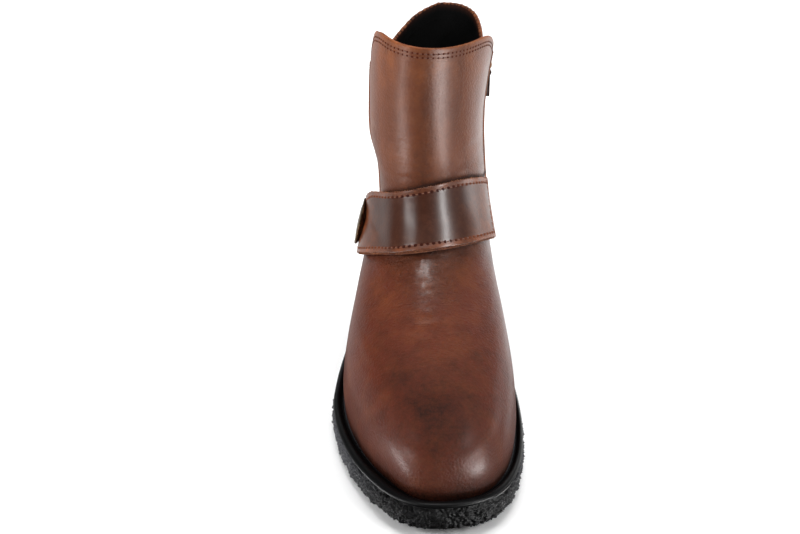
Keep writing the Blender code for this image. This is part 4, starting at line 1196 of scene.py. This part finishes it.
# Sole: crepe rubber side and tread, smooth welt, insole
solePiece = {
    "stations": 640, "sideRows": 38, "treadSteps": 36, "topSteps": 8, "springFrom": -0.328, "toeSpring": 6.0,
    "archFront": -14.0, "archHeight": 12.0, "breast": 66.0, "breastRound": 8.0,
    "bars": [-26.0 - 15.0 * i for i in range(5)] + [82.0 + 14.0 * i for i in range(4)],
    "grooveWide": 3.6, "grooveDeep": 2.4, "grooveInset": 7.0, "grooveSlope": 1.0, "grooveEnd": 2.0,
    "margin": (  # angle, width on the inner and the outer side
        (0, 6.8, 6.8), (15, 6.86, 7.35), (30, 6.72, 8.06), (45, 6.15, 7.84), (60, 5.29, 7.41),
        (75, 4.43, 6.67), (90, 4.0, 6.0), (110, 4.16, 5.65), (140, 4.6, 5.0), (180, 5.0, 5.0),
    ),
    "side": (  # out from the margin, share of the height, drop; from the tread up to the welt
        (-1.6, 0.00, 0.0), (0.3, 0.00, -2.5), (0.9, 0.55, 0.0), (0.3, 1.00, 3.0), (-1.2, 1.00, 1.6),
        (-1.2, 1.00, 0.3),
    ),
    "paintedSideLight": (-134.0, 46.0), "nominalHeight": 20.0, "rough": (1.08, -0.10),
    "crepe": {"Cell": 760.0, "Bump": 1.9 * mm, "Finish": crepeRubber},
}
weltPiece = {
    "inner": 0.8, "every": 4,
    "profile": (  # share of the margin, height
        (0, 0), (0, 0.3), (0.24, 0.3), (0.42, 2.3), (0.58, 2.8), (0.84, 2.6),
        (1.05, 1.7), (1.07, 0.4), (0.96, -0.4),
    ),
}
insolePiece = {
    "thick": 3.0, "clear": 0.6, "every": 8, "steps": 12,
    "edge": ((0.0, 0.0), (0.0, 0.8), (0.0, 0.95), (-0.3, 1.0)),  # out, share of its thickness
}


def soleEdge(angle, out, step=0.05):
    along = form(angle + step, 0.0) - form(angle - step, 0.0)
    away = unit(np.stack([along[..., 1], -along[..., 0]], -1))
    return form(angle, 0.0)[..., :2] + away * np.broadcast_to(out, angle.shape)[..., None]


def margin(angle):
    return bySide(solePiece["margin"], angle)


def tread(y):  # the walking side: flat, lifted under the toe and hollow before the heel
    piece = solePiece
    start = piece["springFrom"] * last["soleLength"]
    spring = piece["toeSpring"] * np.clip((start - y) / (start + last["soleLength"] / 2), 0, None) ** 2
    reach = piece["breast"] - piece["breastRound"] - piece["archFront"]
    inArch = 1 - np.clip((y - piece["archFront"]) / reach, 0, 1)
    rise = piece["archHeight"] * np.sqrt(np.clip(1 - inArch**2, 0, 1))
    drop = easeStep((piece["breast"] - y) / piece["breastRound"]) ** 0.5
    return spring + rise * np.where(y < piece["archFront"], 0, drop)


def soleStations(count):  # angles round the outline, in pairs that face each other across the sole
    fine = np.linspace(0, 180, gridding["soleSteps"])
    inner, outer = (soleEdge(side * fine, margin(side * fine)) for side in (1, -1))
    arc = runs(inner)
    ys = np.interp(np.linspace(0, arc[-1], count + 1), arc, inner[:, 1])
    right, left = (np.interp(ys, np.maximum.accumulate(edge[:, 1]), fine) for edge in (inner, outer))
    return np.concatenate([right, 360 - left[-2:0:-1]])


def ladder(points, ring, steps, up, height=None):  # closes a ring from side to side
    half = len(ring) // 2
    count = sum(len(p) for p in points)
    every = np.concatenate(points)
    pairs = np.stack([ring[1:half], ring[:half:-1]], 1)
    w = np.linspace(0, 1, steps + 1)[1:-1]
    inside = every[pairs[:, 0]][:, None] * (1 - w)[:, None] + every[pairs[:, 1]][:, None] * w[:, None]
    if height is not None:
        inside[..., 2] = height(inside, every[pairs])
    points.append(inside.reshape(-1, 3))  # the caller's list grows
    own = count + np.arange(inside.shape[0] * (steps - 1)).reshape(-1, steps - 1)
    rows = np.concatenate([pairs[:, :1], own, pairs[:, 1:]], 1)
    faces = np.stack([rows[:-1, :-1], rows[:-1, 1:], rows[1:, 1:], rows[1:, :-1]], -1).reshape(-1, 4).tolist()
    faces += [[ring[0], rows[0, k + 1], rows[0, k]] for k in range(steps)]
    faces += [[rows[-1, k], rows[-1, k + 1], ring[half]] for k in range(steps)]
    return [f[::-1] for f in faces] if up else faces


def wallFaces(rows, columns):  # a wall of rings, one above the other
    r, c = np.divmod(np.arange((rows - 1) * columns), columns)
    d = (c + 1) % columns
    low, high = r * columns, (r + 1) * columns
    return np.stack([low + c, low + d, high + d, high + c], 1).tolist()


def treadHeight(inside, ends):
    piece = solePiece
    x, y = inside[..., 0], inside[..., 1]
    groove = piece["grooveWide"] / 2 + piece["grooveSlope"] / 2
    band = sum(easeStep((groove - np.abs(y - bar)) / piece["grooveSlope"]) for bar in piece["bars"])
    room = np.minimum(ends[:, :1, 0] - x, x - ends[:, 1:, 0])
    return tread(y) + piece["grooveDeep"] * band * slope(room, piece["grooveInset"], piece["grooveEnd"])


def closedRings(rings, lowSteps, highSteps, height=None):  # a wall that is closed below and above
    points, columns = list(rings), len(rings[0])
    faces = wallFaces(len(rings), columns)
    faces += ladder(points, np.arange(columns), lowSteps, False, height)
    faces += ladder(points, (len(rings) - 1) * columns + np.arange(columns), highSteps, True)
    return np.concatenate(points), faces


def makeSole(angles):
    piece = solePiece
    line = roundOpen(np.array(piece["side"]))
    length = runs(np.stack([line[:, 0], line[:, 1] * piece["nominalHeight"] - line[:, 2]], -1))
    even = np.linspace(0, length[-1], piece["sideRows"])
    rings, rough = [], []
    for out, share, drop in np.stack([np.interp(even, length, line[:, i]) for i in range(3)], -1):
        xy = soleEdge(angles, margin(angles) + out)
        ground = tread(xy[:, 1])
        rings.append(np.column_stack([xy, ground + share * (bed(xy[:, 1]) - ground) - drop]))
        rough.append(np.full(len(angles), slope(share, *piece["rough"])))
    points, faces = closedRings(rings, piece["treadSteps"], piece["topSteps"], treadHeight)
    rough = np.concatenate(rough)
    rough = np.pad(rough, (0, len(points) - len(rough)))
    # painted light on the sides, none at the toe's front
    paint = {"crepe": rough, "paintedSideLight": slope(points[:, 1], *piece["paintedSideLight"])}
    plain = meshFrom("sole", points, faces, paint=paint)
    keep("crepeSole", grown(crepeSide, plain, piece["crepe"]), replaces=["outsole"])


def makeWelt(angles):
    piece = weltPiece
    rings = []
    for share, height in roundOff(np.array(piece["profile"], float))[::-1]:
        xy = soleEdge(angles, piece["inner"] + share * (margin(angles) - piece["inner"]))
        rings.append(np.column_stack([xy, bed(xy[:, 1]) + height]))
    keep("weltRim", tubeMesh("welt", np.stack(rings, 1)), [weltRubber], replaces=["welt"])


def makeInsole(angles):
    piece = insolePiece
    rings = []
    for out, share in piece["edge"]:
        xy = soleEdge(angles, out - last["wall"] - piece["clear"])
        rings.append(np.column_stack([xy, bed(xy[:, 1]) + share * piece["thick"]]))
    mesh = meshFrom("insole", *closedRings(rings, piece["steps"], piece["steps"]))
    keep("insoleBoard", mesh, [lining], replaces=["insole"])


stations = soleStations(solePiece["stations"])
makeSole(stations)
makeWelt(stations[::weltPiece["every"]])
makeInsole(stations[::insolePiece["every"]])
print("sole made")


# Zip on the inner side
zipPiece = {
    "tapeHalf": 10.0, "tapeThick": 0.7, "tapeEnds": (0.020, 0.012), "tapeCells": (25, 97), "gap": 0.3,
    "chainEnds": (-0.008, 0.015), "chainPoints": 121, "toothDepth": 1.2, "scaleLevel": 0.8, "stitchOut": 3.4,
    "tooth": {
        "Pitch": 2.3 * mm, "Width": 2.9 * mm, "Length": 1.05 * mm, "Height": 1.7 * mm, "Aside": 1.15 * mm,
        "Finish": zipBrass,
    },
    "stopOutline": ((-2.6, -1.7), (2.6, -1.7), (2.6, 1.7), (-2.6, 1.7)),
    "stopLayers": ((0.9, 0.0), (1.0, 0.15), (1.0, 0.8), (0.86, 1.0)),  # size, share of the height
    "stopHigh": 2.0, "stopRise": 0.003, "stopReach": 0.004,
    "sliderOutline": (
        (-2.5, -4.0), (2.5, -4.0), (3.2, -1.5), (3.5, 2.2), (3.0, 4.0), (0.6, 4.0), (0.0, 3.3), (-0.6, 4.0),
        (-3.0, 4.0), (-3.5, 2.2), (-3.2, -1.5),
    ),
    "sliderLayers": (  # size, height
        (0.90, 0.0), (1.0, 0.35), (1.0, 0.95), (0.86, 1.05), (0.86, 1.35), (1.0, 1.45), (1.0, 2.0),
        (0.88, 2.4),
    ),
    "sliderLevel": 0.898, "sliderReach": 0.01, "sliderClear": 0.1,
    "bailReach": 2.8, "bailWire": 0.7, "bailMiddle": 2.35, "bailTurn": (-14.0, 194.0), "bailPoints": 40,
}


def zipGrid(asides, below, above, rows):
    middle = np.mean(last["zipEdges"])
    ring = form(zipAngle(zipPiece["scaleLevel"], np.array([-1.0, 1.0])), zipPiece["scaleLevel"])
    turn = np.asarray(asides) * 2 / np.linalg.norm(ring[1] - ring[0])  # degrees
    bottom = last["zipFoot"] * collar(middle) - below
    levels = bottom + (collar(middle + turn) - above - bottom) * np.linspace(0, 1, rows)[:, None]
    return zipAngle(levels, turn), levels


def zipSpot(level, reach, off):  # axes and origin on the zip's middle line
    near = level + np.array([-reach, 0.0, reach])[:, None]
    return spotFrame(form(zipAngle(near, np.array([-1.0, 0.0, 1.0])), near), off)


def layered(outline, layers, high=1.0):  # one outline in several sizes, one above the other
    outline = roundOff(np.array(outline))
    flat = np.ones(len(outline))
    return np.stack([np.column_stack([outline * size, flat * up * high]) for size, up in layers])


def tubeAlong(line, radius, side, closed=False):  # a wire's rings along a line square to a side
    along = np.roll(line, -1, 0) - np.roll(line, 1, 0) if closed else np.gradient(line, axis=0)
    across = np.cross(unit(along), side)
    turns = np.linspace(0, 2 * np.pi, gridding["wireSides"], endpoint=False)
    around = np.cos(turns)[:, None] * across[:, None] + np.sin(turns)[:, None] * np.asarray(side, float)
    return line[:, None] + radius * around


def makeZip():
    piece = zipPiece
    columns, rows = piece["tapeCells"]
    spread = np.linspace(-piece["tapeHalf"], piece["tapeHalf"], columns)
    angles, levels = zipGrid(spread, *piece["tapeEnds"], rows)
    outer = last["wall"] + piece["gap"]
    mesh = shellMesh("tape", *(skin(angles, levels, -off) for off in (outer, outer + piece["tapeThick"])))
    keep("zipTape", mesh, [wovenTape, wovenTape], replaces=["zip_tape"])
    angles, levels = zipGrid([0.0], *piece["chainEnds"], piece["chainPoints"])
    row = (skin(angles, levels, -piece["toothDepth"])[:, 0], outward(angles, levels)[:, 0])
    keep("zipTeeth", grown(zipTeeth, pathMesh([row]), piece["tooth"]), replaces=["zip_chain"])
    deep = piece["toothDepth"] + piece["stopHigh"] / 2
    axes, origin = zipSpot(levels[0] + piece["stopRise"], piece["stopReach"], -deep)
    stop = layered(piece["stopOutline"], piece["stopLayers"], piece["stopHigh"])
    keep("zipStop", tubeMesh("bottomStop", stop @ axes + origin, False), [zipBrass])
    axes, origin = zipSpot(piece["sliderLevel"], piece["sliderReach"], piece["sliderClear"])
    slider = layered(piece["sliderOutline"], piece["sliderLayers"])
    body = tubeMesh("sliderBody", slider @ axes + origin, False)
    turns = np.radians(np.linspace(*piece["bailTurn"], piece["bailPoints"]))
    out, high = -piece["bailReach"] * np.cos(turns), piece["bailMiddle"] + piece["bailReach"] * np.sin(turns)
    arch = tubeAlong(np.column_stack([0 * turns, out, high]), piece["bailWire"], (-1, 0, 0))
    bail = tubeMesh("sliderBail", arch @ axes + origin, False)
    keep("zipSlider", body, [agedBrass], replaces=["zip_slider"])
    keep("sliderBail", bail, [agedBrass])


makeZip()


# Pull on the slider: wire link and folded leather tab
pullPiece = {
    "linkWide": 8.6, "linkLong": 4.2, "wire": 0.6, "corner": 1.6, "cornerPoints": 9, "linkPoints": 96,
    "tabWidth": 7.0, "eyeWidth": 6.0, "widens": (-2.0, -4.0), "tabEnd": 19.6, "endRound": 2.2,
    "edgeRound": 1.2, "leather": 1.15, "eyeRadius": 1.38, "eyeTurn": (-62.0, 242.0), "eyePoints": 33,
    "layerOff": 0.60, "closeOver": 0.22, "layerPoints": 26, "seamAt": 11.6, "seamHalf": 2.4, "seamPoints": 9,
    "stitch": {"Pitch": 1.9 * mm, "Length": 1.5 * mm, "Width": 0.55 * mm, "Rise": 0.5 * mm, "Hole": 0.6 * mm},
}


def linkLine():  # a flat loop with round corners, in even steps
    piece = pullPiece
    half, drop = piece["linkWide"] / 2, piece["linkLong"]
    corners = np.array([(half, 0), (half, -drop), (-half, -drop), (-half, 0)], float)
    loop = []
    for i, corner in enumerate(corners):  # each corner as a quarter turn
        before, after = unit(corners[i - 1] - corner), unit(corners[(i + 1) % 4] - corner)
        for t in np.radians(np.linspace(0, 90, piece["cornerPoints"])):
            loop.append(corner + piece["corner"] * (before * (1 - math.sin(t)) + after * (1 - math.cos(t))))
    loop = np.array(loop + loop[:1])
    length = runs(loop)
    steps = np.linspace(0, 1, piece["linkPoints"], endpoint=False) * length[-1]
    return np.column_stack([np.interp(steps, length, loop[:, i]) for i in (0, 1)] + [0 * steps])


def tabPath():  # up one layer of leather, round the link and down the other: height and depth
    piece = pullPiece
    turn = np.radians(np.linspace(*piece["eyeTurn"], piece["eyePoints"]))
    eye = np.column_stack([np.sin(turn), np.cos(turn)]) * piece["eyeRadius"] - (piece["linkLong"], 0)
    below = np.linspace(0, 1, piece["layerPoints"])
    fall = eye[-1, 0] + (-piece["tabEnd"] - eye[-1, 0]) * below
    apart = (eye[-1, 1] + piece["layerOff"]) * (1 - easeStep(below / piece["closeOver"]))
    down = np.column_stack([fall, apart - piece["layerOff"]])
    return np.vstack([down[:0:-1] * (1, -1), eye, down[1:]])


def makePull():
    piece = pullPiece
    joint = frame["joints"][0]
    side = -unit(np.array(joint["axis"]))
    rise = unit(np.array([0, 0, 1.0]) - side * side[2])
    axes = np.stack([side, rise, np.cross(side, rise)])
    origin = np.array(joint["pos_m"]) / mm - last["toMiddle"]
    link = tubeMesh("link", tubeAlong(linkLine(), piece["wire"], (0, 0, 1), True) @ axes + origin)
    keep("pullLink", link, [agedBrass], "zip_pull", ["zip_pull_link"])

    path = tabPath()
    line = np.column_stack([0 * path[:, 0], path])
    out = np.cross(unit(np.gradient(line, axis=0)), (1.0, 0, 0))
    wider = slope(path[:, 0] + piece["linkLong"], *piece["widens"])
    wide = piece["eyeWidth"] + (piece["tabWidth"] - piece["eyeWidth"]) * wider
    wide = wide / 2 - rolled(piece["tabEnd"] + path[:, 0], piece["endRound"])
    thick = piece["leather"] / 2
    section = roundOff(np.array([(-1, -1), (1, -1), (1, 1), (-1, 1)], float), 3)
    nearEdge = np.sign(section[:, 0]) * (1 - np.abs(section[:, 0]))
    rings = line[:, None] + out[:, None] * (section[:, 1] * thick)[:, None]
    rings[..., 0] += wide[:, None] * np.sign(section[:, 0]) - nearEdge * thick * piece["edgeRound"]
    mesh = tubeMesh("tab", rings @ axes + origin, False)
    keep("pullTab", mesh, [tabLeather], "zip_pull", ["zip_pull_tab"])
    x = np.linspace(-piece["seamHalf"], piece["seamHalf"], piece["seamPoints"])
    rows = []
    for face in (1, -1):
        spots = np.column_stack([x, 0 * x - piece["seamAt"], 0 * x + face * (piece["layerOff"] + thick)])
        rows.append((spots @ axes + origin, np.tile(axes[2] * face, (len(x), 1))))
    sew("pullTabStitches", rows, piece["stitch"], "zip_pull")


makePull()


# Collar's binding and the upper's seams
bindingPiece = {
    "angles": (104.0, 269.0), "evenLevel": 0.95, "stations": 520, "sides": 14,
    "halfWide": 1.2, "halfHigh": 0.85, "low": 0.7, "pitch": 3.0, "nip": 0.20, "nipWide": 0.5,
    "stray": 0.5, "strayWaves": ((0.83, 0.0), (0.37, 1.0)),
    "wornWaves": (0.52, 0.11), "worn": 0.45, "nipShade": 0.85, "plainShade": 0.3, "rubbed": 0.5,
}
seamPiece = {
    "collarRun": 3.4, "collarAngles": (112.0, 266.0), "collarPoints": 160,
    "backOut": 2.6, "backLevels": (0.06, 0.93), "backPoints": 200, "scaleLevel": 0.5,
    "zipLevels": (0.9 * last["zipFoot"], 0.90), "zipPoints": 120,
    "stitch": {"Pitch": 3.0 * mm, "Length": 2.0 * mm, "Width": 0.7 * mm, "Rise": 0.42 * mm, "Hole": 0.9 * mm},
    "blackStitch": {"Thread": lining, "Needle Hole": lining},
}


def makeBinding():  # sewn over the edge by hand, so that each stitch nips it
    piece = bindingPiece
    angles = evenAngles(*piece["angles"], np.linspace(0, 1, piece["stations"]), piece["evenLevel"])
    levels = collar(angles) - piece["low"] / last["shaftHeight"]
    middle, out = skin(angles, levels, -last["wall"] / 2), outward(angles, levels)
    up = unit(np.cross(out, np.gradient(middle, axis=0)))
    up *= np.sign(up[:, 2:])
    arc = runs(middle)
    strayed = arc + sum(piece["stray"] * np.sin(arc * often + start) for often, start in piece["strayWaves"])
    fromNip = (strayed + piece["pitch"] / 2) % piece["pitch"] - piece["pitch"] / 2
    nipped = bell(fromNip, piece["nipWide"])
    size = (1 - piece["nip"] * nipped)[:, None, None]
    turns = np.linspace(0, 2 * np.pi, piece["sides"], endpoint=False)
    wide = piece["halfWide"] * size * np.cos(turns)[:, None] * out[:, None]
    high = piece["halfHigh"] * size * np.sin(turns)[:, None] * up[:, None]
    quick, slow = piece["wornWaves"]
    worn = piece["worn"] * (1 + np.sin(arc * quick + 2.0 * np.sin(arc * slow)))
    shade = piece["nipShade"] * nipped + piece["plainShade"] * (1 - worn)
    paint = {"burnishAndShade": shade, "pull": piece["rubbed"] * worn}
    paint = {name: np.repeat(value[::-1], piece["sides"]) for name, value in paint.items()}
    mesh = tubeMesh("binding", (middle[:, None] + wide + high)[::-1], False, paint)
    keep("collarBinding", mesh, [bindingLeather])


makeBinding()


def makeSeams():
    piece = seamPiece

    def seam(angles, levels, off=0.0, way=1):
        return skin(angles, levels, off), way * outward(angles, levels)

    angles = np.linspace(*piece["collarAngles"], piece["collarPoints"])
    once, twice = (collar(angles) - times * piece["collarRun"] / last["shaftHeight"] for times in (1, 2))
    climb = np.linspace(*piece["backLevels"], piece["backPoints"])
    zipClimb = np.linspace(*piece["zipLevels"], piece["zipPoints"])
    ring = np.linalg.norm(np.diff(form(np.array([179.0, 181.0]), piece["scaleLevel"]), axis=0)) / 2
    edge = np.ptp(last["zipEdges"]) / 2 + zipPiece["stitchOut"] / ring
    rows = [seam(angles, once)]
    rows += [seam(180 + way * piece["backOut"] / ring, climb) for way in (-1, 1)]
    rows += [seam(zipAngle(zipClimb, way * edge), zipClimb) for way in (-1, 1)]
    sew("upperStitches", rows, piece["stitch"])
    inside = [seam(angles, twice, -last["wall"], -1)]
    sew("liningStitches", inside, {**piece["stitch"], **piece["blackStitch"]})


makeSeams()
print("trim made")


# Stage: pale floor, soft studio light, camera at the photograph's angle
stage = {
    "floorHalf": 12.0, "floorRoughness": 0.9, "floorColour": (0.92, 0.92, 0.92, 1.0),
    "worldColour": (1.0, 1.0, 1.0, 1.0), "worldStrength": 0.16,
    "lights": {  # azimuth from the front towards the inner side, distance, height, tilt down, lean,
        # width, length, watts, and whether it lights the boot, shines back from it or does both
        "leftLowWindow": (-55.0, 1.20, 0.03, 0.0, 56.0, 0.20, 0.62, 4.6, "shine"),
        "rightLowWindow": (51.0, 1.20, 0.08, 0.0, 62.0, 0.20, 0.80, 9.0, "shine"),
        "leftHighWindow": (-50.0, 1.20, 1.31, 0.0, 35.0, 0.20, 1.00, 8.0, "both"),
        "rightHighWindow": (62.0, 1.20, 1.31, 0.0, 35.0, 0.20, 1.00, 16.0, "both"),
        "leftToeWindow": (-74.0, 1.20, -0.50, 0.0, 20.0, 0.40, 0.18, 7.5, "shine"),
        "rightToeWindow": (56.0, 1.20, -0.27, 0.0, 0.0, 0.46, 0.14, 12.5, "shine"),
        "leftSide": (-129.0, 1.30, -0.20, 0.0, 0.0, 1.00, 0.90, 2.2, "shine"),
        "leftSoft": (-102.0, 1.30, 0.03, 0.0, 0.0, 0.45, 0.60, 0.5, "shine"),
        "rightSide": (134.0, 1.30, -0.22, 0.0, 0.0, 0.75, 0.95, 3.7, "shine"),
        "rightUpperSide": (106.0, 1.20, 0.22, 0.0, 0.0, 0.50, 0.30, 2.1, "shine"),
        "ceilingLamp": (0.0, 0.08, 1.70, 90.0, 0.0, 0.36, 0.22, 6.0, "both"),
        "leftBackWindow": (-157.0, 1.40, 0.20, 0.0, 0.0, 0.50, 1.80, 2.5, "both"),
        "rightBackWindow": (155.0, 1.40, 0.20, 0.0, 0.0, 0.50, 1.80, 6.0, "both"),
        "leftFill": (-80.0, 1.30, 0.45, 0.0, 0.0, 0.80, 0.80, 12.0, "fill"),
        "rightFill": (85.0, 1.30, 0.45, 0.0, 0.0, 0.80, 0.80, 3.5, "fill"),
        "leftFloor": (-116.0, 1.30, -1.60, 0.0, 0.0, 0.90, 0.50, 10.0, "shine"),
        "rightFloor": (118.0, 1.30, -1.60, 0.0, 0.0, 0.90, 0.50, 14.0, "shine"),
        "backBounce": (180.0, 0.70, 1.70, 90.0, 0.0, 2.00, 1.40, 32.0, "fill"),
    },
}
lens = {"focal": 42.75, "sensor": 36.0, "place": (-1.172, -502.665, 349.1), "pitch": 28.264, "yaw": 1.809}


def makeStage():
    half = stage["floorHalf"]
    mesh = bpy.data.meshes.new("floor")
    corners = [(-half, -half, 0), (half, -half, 0), (half, half, 0), (-half, half, 0)]
    mesh.from_pydata(corners, [], [(0, 1, 2, 3)])
    floor = bpy.data.objects.new("floor", mesh)
    bpy.context.scene.collection.objects.link(floor)
    paper, bench, shader, _ = newFinish("paleFloor")
    bench.plug(shader, {"Base Color": stage["floorColour"], "Roughness": stage["floorRoughness"]})
    mesh.materials.append(paper)
    floor.visible_shadow = False
    floor.visible_glossy = False  # only the windows shine back from the leather
    world = bpy.data.worlds.new("studio")
    bpy.context.scene.world = world
    world.use_nodes = True
    world.cycles_visibility.glossy = False
    sky = {"Color": stage["worldColour"], "Strength": stage["worldStrength"]}
    Bench(world.node_tree).plug(world.node_tree.nodes["Background"], sky)
    for name, (azimuth, distance, height, tilt, lean, wide, long, power, use) in stage["lights"].items():
        lamp = bpy.data.lights.new(name, "AREA")
        lamp.shape, lamp.size, lamp.size_y, lamp.energy = "RECTANGLE", wide, long, power
        a = math.radians(azimuth)
        holder = bpy.data.objects.new(name, lamp)
        holder.location = (distance * math.sin(a), -distance * math.cos(a), height)
        holder.rotation_euler = (math.radians(90 - tilt), math.radians(lean), a)
        holder.visible_glossy = use != "fill"
        holder.visible_diffuse = use != "shine"
        holder.visible_camera = False
        bpy.context.scene.collection.objects.link(holder)
    camera = bpy.data.cameras.new("camera")
    camera.lens, camera.sensor_width = lens["focal"], lens["sensor"]
    viewer = bpy.data.objects.new("camera", camera)
    viewer.location = Vector(lens["place"]) * mm
    viewer.rotation_euler = (math.radians(90 - lens["pitch"]), 0, math.radians(lens["yaw"]))
    bpy.context.scene.collection.objects.link(viewer)
    bpy.context.scene.camera = viewer
    bpy.context.scene.view_settings.view_transform = "Standard"


makeStage()
